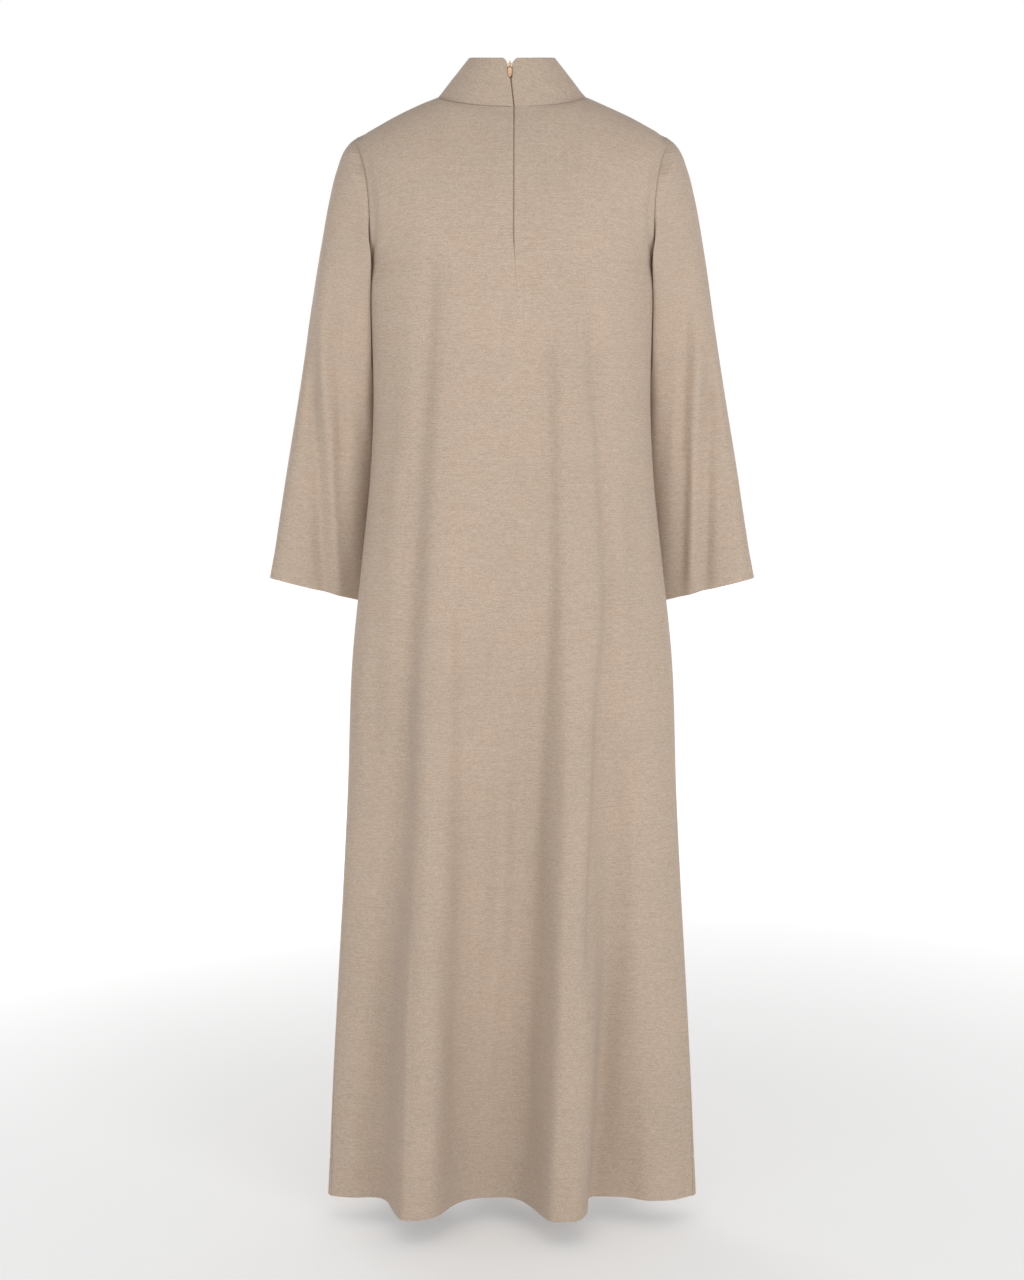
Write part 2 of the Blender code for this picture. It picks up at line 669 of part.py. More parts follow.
def ring_block(across, outer, inner):
    """Rectangular ring with a window through it along X: two loops of corners in out and down."""
    points = []
    for x in across:
        for out, down in outer + inner:
            points.append((x, out, down))
    faces = []
    for step in range(4):
        after = (step + 1) % 4
        faces.append([step, after, 4 + after, 4 + step])
        faces.append([8 + step, 12 + step, 12 + after, 8 + after])
        faces.append([step, 8 + step, 8 + after, after])
        faces.append([4 + step, 4 + after, 12 + after, 12 + step])
    return points, faces


def united(name, pieces, surface):
    """Join closed pieces, given in the slider's directions, into one solid."""
    centre, across, out, down = slider_frame()
    made = []
    for number, (points, faces) in enumerate(pieces):
        placed = [centre + across * x + out * o + down * d for x, o, d in points]
        title = name if number == 0 else f"{name}_piece_{number}"
        made.append(mesh_object(title, placed, faces, surface, False))
    body = made[0]
    for piece in made[1:]:
        joint = body.modifiers.new("join", "BOOLEAN")
        joint.operation = "UNION"
        joint.object = piece
        piece.hide_render = True
        piece.display_type = "WIRE"
    return body


def make_slider(brass):
    """Slider: a flat body with a nose, and an arch whose window holds the pull tab's bar."""
    face = -0.5 * WINDOW_HEIGHT
    arch_half = 0.5 * WINDOW_LENGTH + ARCH_BAR
    arch_top = 0.5 * WINDOW_HEIGHT + ARCH_BAR
    body = block((-0.5 * SLIDER_WIDTH, 0.5 * SLIDER_WIDTH), (face - SLIDER_THICK, face),
                 (-0.5 * SLIDER_LENGTH, 0.5 * SLIDER_LENGTH))
    nose = block((-0.5 * NOSE_WIDTH, 0.5 * NOSE_WIDTH), (face - SLIDER_STEP - NOSE_THICK, face - SLIDER_STEP),
                 (-0.5 * SLIDER_LENGTH - NOSE_LENGTH, -0.5 * SLIDER_LENGTH + NOSE_INTO_BODY))
    foot = face - SLIDER_SUNK
    outer = [(foot, -arch_half), (arch_top, -arch_half), (arch_top, arch_half), (foot, arch_half)]
    sill = face - SLIDER_STEP
    lintel = arch_top - ARCH_BAR
    reach = arch_half - ARCH_BAR
    inner = [(sill, -reach), (lintel, -reach), (lintel, reach), (sill, reach)]
    arch = ring_block((-0.5 * ARCH_WIDTH, 0.5 * ARCH_WIDTH), outer, inner)
    united("zip_slider", [body, nose, arch], brass)


def round_outline(half_top, half_low, top, length):
    """Closed outline with round ends, given as across and down, wider or narrower towards its low end."""
    points = []
    for step in range(PULL_SIDES):
        angle = 2.0 * math.pi * step / PULL_SIDES
        along = 0.5 * (1.0 - math.cos(angle))
        wide = (half_top + (half_low - half_top) * along) * abs(math.sin(angle)) ** PULL_SQUARENESS
        points.append((math.copysign(wide, math.sin(angle)), top + along * length))
    return points


def make_pull(brass):
    """Pull tab: a flat drop with a hole, whose top bar lies in the slider's arch."""
    count = PULL_SIDES
    centre, across, out, down = slider_frame()
    bar = 0.5 * PULL_THICK
    tab = round_outline(PULL_HALF_TOP, PULL_HALF_WIDE, -bar, PULL_LENGTH)
    hole = round_outline(PULL_HOLE_HALF, PULL_HOLE_HALF, bar, PULL_HOLE_LENGTH - bar)
    points = []
    for lift in (-bar, bar):
        for outline in (tab, hole):
            points += [centre + across * x + out * lift + down * d for x, d in outline]
    faces = []
    for step in range(count):
        after = (step + 1) % count
        faces.append([step, after, count + after, count + step])
        faces.append([2 * count + step, 3 * count + step, 3 * count + after, 2 * count + after])
        faces.append([step, 2 * count + step, 2 * count + after, after])
        faces.append([count + step, count + after, 3 * count + after, 3 * count + step])
    mesh_object("zip_pull", points, faces, brass, False)


def main():
    """Build the whole dress in an empty scene."""
    for old in list(bpy.data.objects):
        bpy.data.objects.remove(old, do_unlink=True)
    fabric = material("fabric", FABRIC_COLOUR, 0.85, 0.0)
    tape = material("zip tape", TAPE_COLOUR, 0.8, 0.0)
    brass = material("brass", BRASS_COLOUR, 0.35, 1.0)
    make_body(fabric)
    make_sleeve(1.0, fabric)
    make_sleeve(-1.0, fabric)
    make_collar(fabric)
    make_tape(tape)
    make_slider(brass)
    make_pull(brass)


main()
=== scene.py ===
# %% [markdown]
# # A long draped dress
#
# The dress is filled out as if worn, with nobody inside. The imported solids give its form: plain
# walls 2 mm thick, which a physics engine can use. This lesson lays real cloth over them. Each
# piece that a maker would cut becomes a thin sheet with a fine grid, its own creases, rolled seam
# edges and turned up hems, and then come the zip, the cloth's colours and the light.

# %% Load the solids as a fixed frame
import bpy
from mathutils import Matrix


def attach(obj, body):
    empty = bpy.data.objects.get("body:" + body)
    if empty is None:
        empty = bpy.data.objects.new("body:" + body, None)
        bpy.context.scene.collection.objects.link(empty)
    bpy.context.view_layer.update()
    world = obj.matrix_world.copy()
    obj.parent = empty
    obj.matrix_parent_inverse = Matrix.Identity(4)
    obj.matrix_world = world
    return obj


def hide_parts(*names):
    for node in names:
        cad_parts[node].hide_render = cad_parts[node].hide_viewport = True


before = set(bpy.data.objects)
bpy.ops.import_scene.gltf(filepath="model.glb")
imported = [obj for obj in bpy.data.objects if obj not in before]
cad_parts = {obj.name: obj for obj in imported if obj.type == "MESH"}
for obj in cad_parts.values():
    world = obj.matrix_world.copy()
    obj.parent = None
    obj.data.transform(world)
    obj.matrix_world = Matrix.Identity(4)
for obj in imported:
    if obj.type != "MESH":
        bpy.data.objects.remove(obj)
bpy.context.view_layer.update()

# %% Everything else that is used
import math

import bmesh
import bpy
import numpy as np
from mathutils import Vector

MM = 0.001

# %% [markdown]
# ## The dress's own measures
#
# A pattern maker works from a few sections: how wide and deep the body is at the underarms, the
# waist, the hips and the hem, and where the large folds stand. The same named values shaped the
# solids, so the cloth made from them lies on the solids without any fitting. All are in
# millimetres, and `drop` is the distance below the neck points.

# %% Body sections and large folds
NECK_HALF = 92.0
SHOULDER_HALF = 192.0
SHOULDER_DROP = 49.5
SHOULDER_BOW = 2.5
UNDERARM_DROP = 204.0
HEM_DROP = 1403.0
SHOULDER_ROUND = 0.45
NECK_BLEND = 7.0
YOKE_SQUARENESS = 6.0
NECKLINE_ROUND = 1.3
FOLD_TOP_CRISP = 2.2
SEAM_HALF_GAP = 0.15

FACE_COLUMNS = ("side", "neck_depth", "neck_drop", "armhole_depth", "rise", "rise_neck")
FACES = {
    "back": (1, 62, 18, 58, 3, 2.2),
    "front": (-1, 75, 40, 52, 2.6, 2.2),
}
ARMHOLE_COLUMNS = ("drop", "half_width")
ARMHOLE_ROWS = [
    (49.5, 192),
    (62, 189),
    (75, 184.5),
    (93, 179.5),
    (120, 175.5),
    (150, 174),
    (180, 175.2),
    (204, 177.3),
]
BODY_COLUMNS = ("drop", "half_width", "back", "front", "back_fold", "front_fold", "squareness", "seam_angle")
BODY_ROWS = [
    (204, 177.3, 104, 116, 0, 0, 2.30, 90),
    (247, 175.2, 103.3, 117, 1, 0, 2.30, 90),
    (310, 171.9, 96, 114, 3, 1, 2.32, 90),
    (372, 171, 91, 107, 6, 3, 2.35, 90),
    (422, 172.7, 89, 102, 8, 5, 2.38, 90),
    (473, 176.2, 87, 98, 11, 8, 2.42, 90),
    (573, 187.1, 82, 92, 16, 14, 2.50, 90),
    (688, 199.7, 75, 84, 24, 23, 2.60, 90),
    (882, 211, 58, 66, 43, 42, 2.75, 90),
    (1013, 218.6, 44, 51, 57, 56, 2.85, 90),
    (1146, 226.9, 31, 37, 70, 68, 3.20, 86.5),
    (1280, 234.6, 21, 26, 80, 77, 3.80, 82.5),
    (1347, 237.9, 17, 22, 84, 81, 4.10, 80.5),
    (1403, 241, 15, 20, 87, 84, 4.30, 79),
]
FOLD_COLUMNS = ("share", "top", "middle", "hem", "plus_top", "plus", "minus_top", "minus",
                "crisp_plus", "crisp_minus", "lean")
FOLD_ROWS = {
    "back": [
        (1.00, 0.42, 0.50, 0.505, 12, 33, 43, 41, 6, 4, 0),
        (1.02, -0.38, -0.365, -0.262, 24, 41, 45, 29, 6, 10, -10),
        (0.10, 0.86, 0.88, 0.90, 20, 24, 20, 26, 3, 3, 0),
        (0.22, -0.80, -0.80, -0.80, 30, 34, 30, 36, 4, 4, 0),
    ],
    "front": [
        (0.95, -0.46, -0.50, -0.53, 36, 44, 20, 34, 4, 5, 0),
        (1.00, 0.02, 0.03, 0.07, 24, 36, 30, 40, 5, 4, 6),
        (0.90, 0.50, 0.55, 0.58, 16, 32, 36, 40, 6, 4, 0),
    ],
}


def named(columns, rows):
    """Turn the rows of a table into one array for each named column."""
    return {name: np.array(values, dtype=float) for name, values in zip(columns, zip(*rows))}


FACE = {name: dict(zip(FACE_COLUMNS, row)) for name, row in FACES.items()}
FOLDS = {name: [dict(zip(FOLD_COLUMNS, row)) for row in rows] for name, rows in FOLD_ROWS.items()}
ARMHOLE = named(ARMHOLE_COLUMNS, ARMHOLE_ROWS)
BODY = named(BODY_COLUMNS, BODY_ROWS)
NECK_SHARE = NECK_HALF / SHOULDER_HALF
NECK_ANGLE = math.asin(NECK_SHARE)
print("body sections:", len(BODY_ROWS), "large folds:", sum(len(rows) for rows in FOLDS.values()))


# %% Curves through the tables
def eased(share):
    """0 to 1 along a soft S."""
    share = np.clip(share, 0.0, 1.0)
    return share * share * (3.0 - 2.0 * share)


def smooth(table, column, place, key="drop"):
    """Read a column at a place between the table's rows, along a smooth curve through them."""
    keys = table[key]
    values = table[column]
    slopes = np.gradient(values, keys)
    row = np.clip(np.searchsorted(keys, place) - 1, 0, len(keys) - 2)
    step = keys[row + 1] - keys[row]
    share = np.clip((place - keys[row]) / step, 0.0, 1.0)
    start = share * (1.0 - share) ** 2 * step * slopes[row]
    end = share * share * (1.0 - share) * step * slopes[row + 1]
    return values[row] + (values[row + 1] - values[row]) * eased(share) + start - end


def straight(table, column, place, key="drop"):
    """Read a column at a place between the table's rows, along straight lines."""
    return np.interp(place, table[key], table[column])


def bow(share, power):
    """Superellipse: 1 at share 0, falling to 0 at share 1."""
    return np.maximum(0.0, 1.0 - np.abs(share) ** power) ** (1.0 / power)


def length_of(vectors):
    """Lengths of an array's vectors."""
    return np.linalg.norm(vectors, axis=-1)


def walked(points, axis=0):
    """Distance along points from the first one, down a grid's columns or across its rows."""
    sums = np.cumsum(length_of(np.diff(points, axis=axis)), axis=axis)
    return np.insert(sums, 0, 0.0, axis=axis)


def to_ends(sums):
    """Distance to the nearer end of each row, from the distances walked along it."""
    return np.minimum(sums, sums[..., -1:] - sums)


# %% Where the body's surface lies
def fold_sum(face, x, half_width, drop):
    """Height and sideways push of the large folds at x, as shares of the section's fold depth."""
    down = (drop - UNDERARM_DROP) / (HEM_DROP - UNDERARM_DROP)
    height = np.zeros_like(x)
    push = np.zeros_like(x)
    for fold in FOLDS[face]:
        place = (fold["top"] * (1.0 - down) * (1.0 - 2.0 * down) + fold["middle"] * 4.0 * down * (1.0 - down)
                 + fold["hem"] * down * (2.0 * down - 1.0))
        reach = x - place * half_width
        plus = fold["plus_top"] + (fold["plus"] - fold["plus_top"]) * down
        minus = fold["minus_top"] + (fold["minus"] - fold["minus_top"]) * down
        wide = np.where(reach > 0.0, plus, minus)
        crisp = np.where(reach > 0.0, fold["crisp_plus"], fold["crisp_minus"])
        crisp = FOLD_TOP_CRISP + (crisp - FOLD_TOP_CRISP) * down
        bump = 1.0 / (1.0 + np.abs(reach / wide) ** crisp)
        height += fold["share"] * bump
        push += fold["lean"] * down * bump
    return height, push


def skirt_points(face, angle, drop):
    """Points of a panel below the underarms. Angles are counted from the middle of the panel."""
    half = smooth(BODY, "half_width", drop)
    share = np.sin(angle)
    x = half * share
    edge = bow(share, smooth(BODY, "squareness", drop))
    depths = {}
    pushes = {}
    for name in FACES:
        height, pushes[name] = fold_sum(name, x, half, drop)
        depth = smooth(BODY, name, drop) + smooth(BODY, name + "_fold", drop) * height
        depths[name] = FACE[name]["side"] * depth
    other = "front" if face == "back" else "back"
    beyond = np.cos(angle) < 0.0
    y = np.where(beyond, depths[other], depths[face]) * edge
    x = x + np.where(beyond, pushes[other], pushes[face]) * edge
    return np.stack([x, y, np.full_like(x, -drop)], axis=-1)


def yoke_points(face, share, up):
    """Points of a panel between the underarm (up = 0) and the shoulder seam (up = 1)."""
    look = FACE[face]
    risen = 0.5 * (1.0 - np.cos(math.pi * up))
    edge_drop = UNDERARM_DROP - (UNDERARM_DROP - SHOULDER_DROP) * risen
    half = smooth(ARMHOLE, "half_width", edge_drop)
    inner = np.minimum(np.abs(share) / NECK_SHARE, 1.0)
    outer = np.maximum(np.abs(share) - NECK_SHARE, 0.0) / (1.0 - NECK_SHARE)
    shoulder = SHOULDER_DROP * outer - 4.0 * SHOULDER_BOW * outer * (1.0 - outer)
    neckline = look["neck_drop"] * bow(inner, 2.0) ** NECKLINE_ROUND
    top_drop = np.where(np.abs(share) < NECK_SHARE, neckline, shoulder)
    top_depth = look["neck_depth"] * bow(inner, 2.0) ** (1.0 + NECK_BLEND * (1.0 - risen))
    chest = BODY[face][0]
    nearness = eased(inner)
    power = look["rise"] + (look["rise_neck"] - look["rise"]) * nearness
    turn = 1.0 + (SHOULDER_ROUND - 1.0) * nearness
    middle = top_depth + (chest - top_depth) * np.maximum(0.0, 1.0 - risen ** power) ** turn
    square = BODY["squareness"][0] + YOKE_SQUARENESS * risen * risen
    cut = look["armhole_depth"] * np.sin(math.pi * up)
    full = chest * np.maximum(1.0 - risen ** look["rise_neck"], 0.0) ** SHOULDER_ROUND
    edge_share = np.where(cut < full, bow(np.minimum(cut / np.maximum(full, 1e-9), 1.0), square), 1.0)
    depth = middle * bow(share * edge_share, square)
    z = -UNDERARM_DROP + (UNDERARM_DROP - top_drop) * risen
    return np.stack([half * share, look["side"] * depth, z * np.ones_like(share)], axis=-1)


# %% [markdown]
# ## Laying a fine grid over a surface
#
# Cloth looks right when its grid cells are about equal and grow smaller where it bends. So each
# row is walked along with many tiny steps, the steps and the bends are added up, and the grid's
# columns are set at equal stretches of that sum. Close to a sewn edge a few columns stand less
# than a millimetre apart, because there the cloth rolls under into the seam.

# %% Columns along a row
BEND_PULL = 16.0
EDGE_STEPS = (0.0, 0.12, 0.35, 0.7, 1.15, 2.0, 3.4)


def stations(length, count, fine_start, fine_end):
    """Distances along a stretch: evenly apart, with fine steps at an end where cloth rolls."""
    first = EDGE_STEPS if fine_start else [0.0]
    last = [length - step for step in reversed(EDGE_STEPS)] if fine_end else [length]
    middle = np.linspace(first[-1], last[0], count - len(first) - len(last) + 2)[1:-1]
    return np.concatenate([first, middle, last])


def effort(points):
    """How far a walk along points has come: its steps, and its bends weighed as millimetres."""
    steps = np.diff(points, axis=0)
    lengths = np.maximum(length_of(steps), 1e-9)
    ways = steps / lengths[:, None]
    bends = np.insert(length_of(np.diff(ways, axis=0)), 0, 0.0)
    return np.insert(np.cumsum(lengths + BEND_PULL * bends), 0, 0.0)


def resampled(grid, distances, stops):
    """Read a column of a dense grid at stops along its own distances."""
    return np.stack([np.interp(stops, distances, grid[:, axis]) for axis in range(grid.shape[1])], axis=-1)


# %% Grid of a body panel
HALF_COLUMNS = 76
MIDDLE = HALF_COLUMNS - 1
NECK_COLUMNS = 33
YOKE_LEVELS = 300
YOKE_ROWS = 48
DENSE = 700
SPREAD_DROP = 480.0
SKIRT_ROW = 6.2
HEM_DEPTH = 50.0
HEM_LINE_STEPS = (-4.6, -2.4, -1.1, 0.0, 1.1, 2.4, 4.6)
HEM_LINE_KEEP = 1.4


def panel_columns(points, neck, fine_middle, spread):
    """Places of a half row's columns, as positions in its dense points."""
    sums = effort(points)
    inner = stations(sums[neck], NECK_COLUMNS, fine_middle, False)
    outer = stations(sums[-1] - sums[neck], HALF_COLUMNS - NECK_COLUMNS + 1, False, True) + sums[neck]
    zoned = np.concatenate([inner, outer[1:]])
    even = stations(sums[-1], HALF_COLUMNS, fine_middle, True)
    return np.interp(zoned + (even - zoned) * spread, sums, np.arange(len(sums)))


def half_yoke(face, side):
    """Dense levels of half a yoke from the shoulder down, with the columns placed on each one."""
    turns, neck = neck_placed(math.pi / 2)
    levels = []
    for up in np.linspace(1.0, 0.0, YOKE_LEVELS):
        share = side * np.sin(turns)
        dense = yoke_points(face, share, up)
        chosen = panel_columns(dense, neck, face == "back", 0.0)
        picked = side * np.sin(np.interp(chosen, np.arange(DENSE), turns))
        levels.append(yoke_points(face, picked, up))
    levels = np.array(levels)
    columns = []
    for column in range(HALF_COLUMNS):
        distance = walked(levels[:, column])
        stops = stations(distance[-1], YOKE_ROWS, True, False)
        columns.append(resampled(levels[:, column], distance, stops))
    return np.stack(columns, axis=1)


def neck_placed(limit):
    """Dense angles up to a limit, one of them exactly at the neck point, and that one's number."""
    turns = np.linspace(0.0, limit, DENSE)
    neck = int(np.argmin(np.abs(turns - NECK_ANGLE)))
    turns[neck] = NECK_ANGLE
    return turns, neck


def skirt_rows():
    """Drops of the rows below the underarm, closer together at the hem's stitching line."""
    rows = list(np.arange(UNDERARM_DROP + SKIRT_ROW, HEM_DROP - 2.0, SKIRT_ROW)) + [HEM_DROP]
    line = HEM_DROP - HEM_DEPTH
    rows = [drop for drop in rows if abs(drop - line) > HEM_LINE_KEEP * HEM_LINE_STEPS[-1]]
    return sorted(rows + [line + step for step in HEM_LINE_STEPS])


def half_skirt(face, side):
    """Rows of half a skirt panel, from just below the underarm to the hem."""
    rows = []
    for drop in skirt_rows():
        seam = math.radians(smooth(BODY, "seam_angle", drop))
        limit = seam if face == "back" else math.pi - seam
        turns, neck = neck_placed(limit)
        dense = skirt_points(face, side * turns, drop)
        spread = eased((drop - UNDERARM_DROP) / (SPREAD_DROP - UNDERARM_DROP))
        chosen = panel_columns(dense, neck, face == "back", spread)
        picked = np.interp(chosen, np.arange(DENSE), turns)
        rows.append(skirt_points(face, side * picked, drop))
    return np.array(rows)


def panel_grid(face):
    """Points of a body panel's outer face: rows from the top, columns from -X to +X."""
    halves = [np.concatenate([half_yoke(face, side), half_skirt(face, side)]) for side in (-1.0, 1.0)]
    return np.concatenate([halves[0][:, ::-1], halves[1][:, 1:]], axis=1)


NECK_LINE_ROUNDS = 40
NECK_LINE_COLUMNS = 9.0
NECK_LINE_ROWS = (3.0, 9.0)


def without_neck_lines(grid):
    """Smooth out the two lines that run down from the neck points."""
    columns = np.abs(np.arange(grid.shape[1]) - MIDDLE)
    near = eased(1.0 - np.abs(columns - NECK_COLUMNS + 1) / NECK_LINE_COLUMNS)
    rows = eased((np.arange(grid.shape[0]) - NECK_LINE_ROWS[0]) / NECK_LINE_ROWS[1])
    share = (rows[:, None] * near[None, :])[:, 1:-1, None]
    for _ in range(NECK_LINE_ROUNDS):
        grid[:, 1:-1] += 0.25 * share * (grid[:, 2:] + grid[:, :-2] - 2.0 * grid[:, 1:-1])
    return grid


base = {face: without_neck_lines(panel_grid(face)) for face in ("back", "front")}
print("panel grids:", {face: grid.shape[:2] for face, grid in base.items()})


# %% [markdown]
# ## Creases, seams and hems
#
# Big folds are in the grid already. What makes cloth look like cloth is the rest: soft troughs
# that fade out, never two alike, small unevenness everywhere, edges that roll into a seam, and a
# hem that is turned up inside and shows as one faint line outside. Each is a height along the
# surface's normal, so they can simply be added up before the points are moved.

# %% Heights that are added to a surface
ROLL = 1.1
ARMHOLE_ROLL = ((49, 0.06), (75, 0.15), (110, 0.42), (150, 0.5), (204, 0.5))
UNEVEN_WAVES = 16


def armhole_roll(drop):
    """Radius of the roll at the armhole, which is smallest over the shoulder."""
    return np.interp(drop, *zip(*ARMHOLE_ROLL))


def normals_of(grid, closed=False):
    """Unit normals of a grid, from the lines to the neighbouring points."""
    if closed:
        across = np.roll(grid, -1, axis=1) - np.roll(grid, 1, axis=1)
    else:
        across = np.gradient(grid, axis=1)
    normal = np.cross(across, np.gradient(grid, axis=0))
    return normal / np.maximum(length_of(normal), 1e-12)[..., None]


def bell(reach, wide, wide_below=None):
    """Soft hump: 1 at reach 0, with a width of its own for each side where two are given."""
    if wide_below is not None:
        wide = np.where(reach > 0.0, wide, wide_below)
    return np.exp(-(reach / wide) ** 2)


def crease_heights(rows, across, down):
    """Sum of soft ridges and troughs, each along a straight line between two places."""
    total = np.zeros_like(across)
    for across_top, down_top, across_low, down_low, height, width_up, width_down, fade in rows:
        line = np.array([across_low - across_top, down_low - down_top])
        long = math.hypot(*line)
        along = ((across - across_top) * line[0] + (down - down_top) * line[1]) / long
        beside = ((across - across_top) * line[1] - (down - down_top) * line[0]) / long
        ends = eased(along / fade) * eased((long - along) / fade)
        total += height * bell(beside, width_up, width_down) * ends
    return total


def long_folds(rows, across, down):
    """Sum of soft ridges and troughs that run down the cloth along curves through named places."""
    total = np.zeros_like(across)
    for height, wide_plus, wide_minus, fade, places in rows:
        centres, drops = zip(*places)
        beside = across - np.interp(down, drops, centres)
        ends = eased((down - drops[0]) / fade) * eased((drops[-1] - down) / fade)
        total += height * bell(beside, wide_plus, wide_minus) * ends
    return total


def unevenness(across, down, seed, height, narrow, long):
    """Gentle waves in many directions, mostly along the cloth's length."""
    dice = np.random.default_rng(seed)
    total = np.zeros_like(across)
    for _ in range(UNEVEN_WAVES):
        ripple = dice.uniform(-1.0, 1.0) * 2.0 * math.pi / narrow
        slow = dice.uniform(-1.0, 1.0) * 2.0 * math.pi / long
        total += np.sin(across * ripple + down * slow + dice.uniform(0.0, 2.0 * math.pi))
    return total * height / math.sqrt(UNEVEN_WAVES)


def rolled(distance, radius):
    """How deep an edge that rolls under lies, at a distance from it."""
    inside = np.clip(1.0 - distance / radius, 0.0, 1.0)
    return -radius * (1.0 - np.sqrt(1.0 - inside ** 2))


# %% Sheets of cloth from grids
CLOTH = 1.0
TURN_GAP = 2.15
TURN_ANGLES = (35.0, 75.0, 105.0, 145.0)
SHARP = math.radians(60.0)


def turned_up(grid, normals, source):
    """Rows that fold the last row under and run back up behind the source rows."""
    normal = normals[-1]
    way = grid[-1] - grid[-2]
    way = way / length_of(way)[..., None]
    radius = 0.5 * TURN_GAP
    rows = []
    for angle in np.radians(TURN_ANGLES):
        rows.append(grid[-1] - radius * normal + radius * (math.cos(angle) * normal + math.sin(angle) * way))
    rows += [grid[row] - TURN_GAP * normals[row] for row in source]
    return np.array(rows)


SEAM_UNDER = 1.25
SEAM_ALLOWANCE = 2.2
SEAM_LEAST = 0.12
SEAM_DIVE = 0.1
PAST_EDGE = len(EDGE_STEPS)


def seam_allowance(grid, normals, flat, share):
    """Rows that go down into a seam and on below the next piece, from the far one to the edge."""
    away = flat[0] - flat[PAST_EDGE]
    away = away / length_of(away)[..., None]
    share = np.maximum(share, SEAM_LEAST)[:, None]
    under = grid[0] - SEAM_UNDER * share * normals[PAST_EDGE]
    return np.array([under + share * (SEAM_ALLOWANCE * away - SEAM_DIVE * normals[PAST_EDGE]), under])


class Sheet:
    """Points, faces and weave coordinates of one piece of cloth, in millimetres."""

    def __init__(self):
        self.points = []
        self.weave = []
        self.faces = []

    def add_rows(self, grid, weave):
        """Add a grid of points with their places in the weave and return their numbers."""
        start = len(self.points)
        count = grid.shape[0] * grid.shape[1]
        self.points.extend(grid.reshape(-1, 3).tolist())
        self.weave.extend(weave.reshape(-1, 2).tolist())
        return np.arange(start, start + count).reshape(grid.shape[:2])

    def join(self, numbers, outward):
        """Join a grid of point numbers with faces; outward is False where they have to turn round."""
        corners = [numbers[:-1, :-1], numbers[:-1, 1:], numbers[1:, 1:], numbers[1:, :-1]]
        corners = np.stack(corners if outward else corners[::-1], axis=-1)
        self.faces.extend(corners.reshape(-1, 4).tolist())


def added(name, data):
    """New object in the scene with a mesh, camera or light."""
    made = bpy.data.objects.new(name, data)
    bpy.context.scene.collection.objects.link(made)
    return made


def alone(made):
    """Make one object the only selected and active one."""
    bpy.ops.object.select_all(action="DESELECT")
    bpy.context.view_layer.objects.active = made
    made.select_set(True)
    return made


def applied(made, modifier):
    """Apply a modifier of an object."""
    alone(made)
    bpy.ops.object.modifier_apply(modifier=modifier.name)
    return made


def cloth_object(name, sheet, surface, thick=CLOTH, welds=None):
    """Mesh object of a sheet, with its weave as a UV map and its wall made by Solidify."""
    mesh = bpy.data.meshes.new(name)
    mesh.from_pydata((np.array(sheet.points) * MM).tolist(), [], sheet.faces)
    layer = mesh.uv_layers.new(name="weave")
    order = np.zeros(len(mesh.loops), dtype=np.int64)
    mesh.loops.foreach_get("vertex_index", order)
    layer.data.foreach_set("uv", (np.array(sheet.weave)[order] * MM).ravel())
    if welds is not None:
        shape = bmesh.new()
        shape.from_mesh(mesh)
        bmesh.ops.remove_doubles(shape, verts=shape.verts, dist=welds * MM)
        shape.to_mesh(mesh)
        shape.free()
    mesh.materials.append(surface)
    mesh.shade_smooth()
    made = added(name, mesh)
    wall = made.modifiers.new("wall", "SOLIDIFY")
    wall.thickness = thick * MM
    wall.offset = -1.0
    applied(made, wall)
    made.data.set_sharp_from_angle(angle=SHARP)
    area = sum(polygon.area for polygon in made.data.polygons)
    print(name, len(made.data.polygons), "faces,", round(area, 3), "square metres with both sides")
    return made


# %% [markdown]
# ## Shader maths as Python
#
# A weave is numbers: how far along the weft, how far up the warp. Writing them as expressions is
# easier to read than a hundred node calls, so a small class wraps a socket and adds the Math nodes.

# %% Sockets that can be added and multiplied
class Value:
    """An output of a node, which Python's operators can work on."""

    def __init__(self, nodes, socket):
        self.nodes = nodes
        self.socket = socket

    def math(self, operation, first, second):
        """Math node on two values."""
        return self.nodes.node("ShaderNodeMath", {"operation": operation}, {0: first, 1: second})

    def __add__(self, other):
        return self.math("ADD", self, other)

    def __radd__(self, other):
        return self.math("ADD", other, self)

    def __sub__(self, other):
        return self.math("SUBTRACT", self, other)

    def __rsub__(self, other):
        return self.math("SUBTRACT", other, self)

    def __mul__(self, other):
        return self.math("MULTIPLY", self, other)

    def __rmul__(self, other):
        return self.math("MULTIPLY", other, self)

    def __truediv__(self, other):
        return self.math("DIVIDE", self, other)


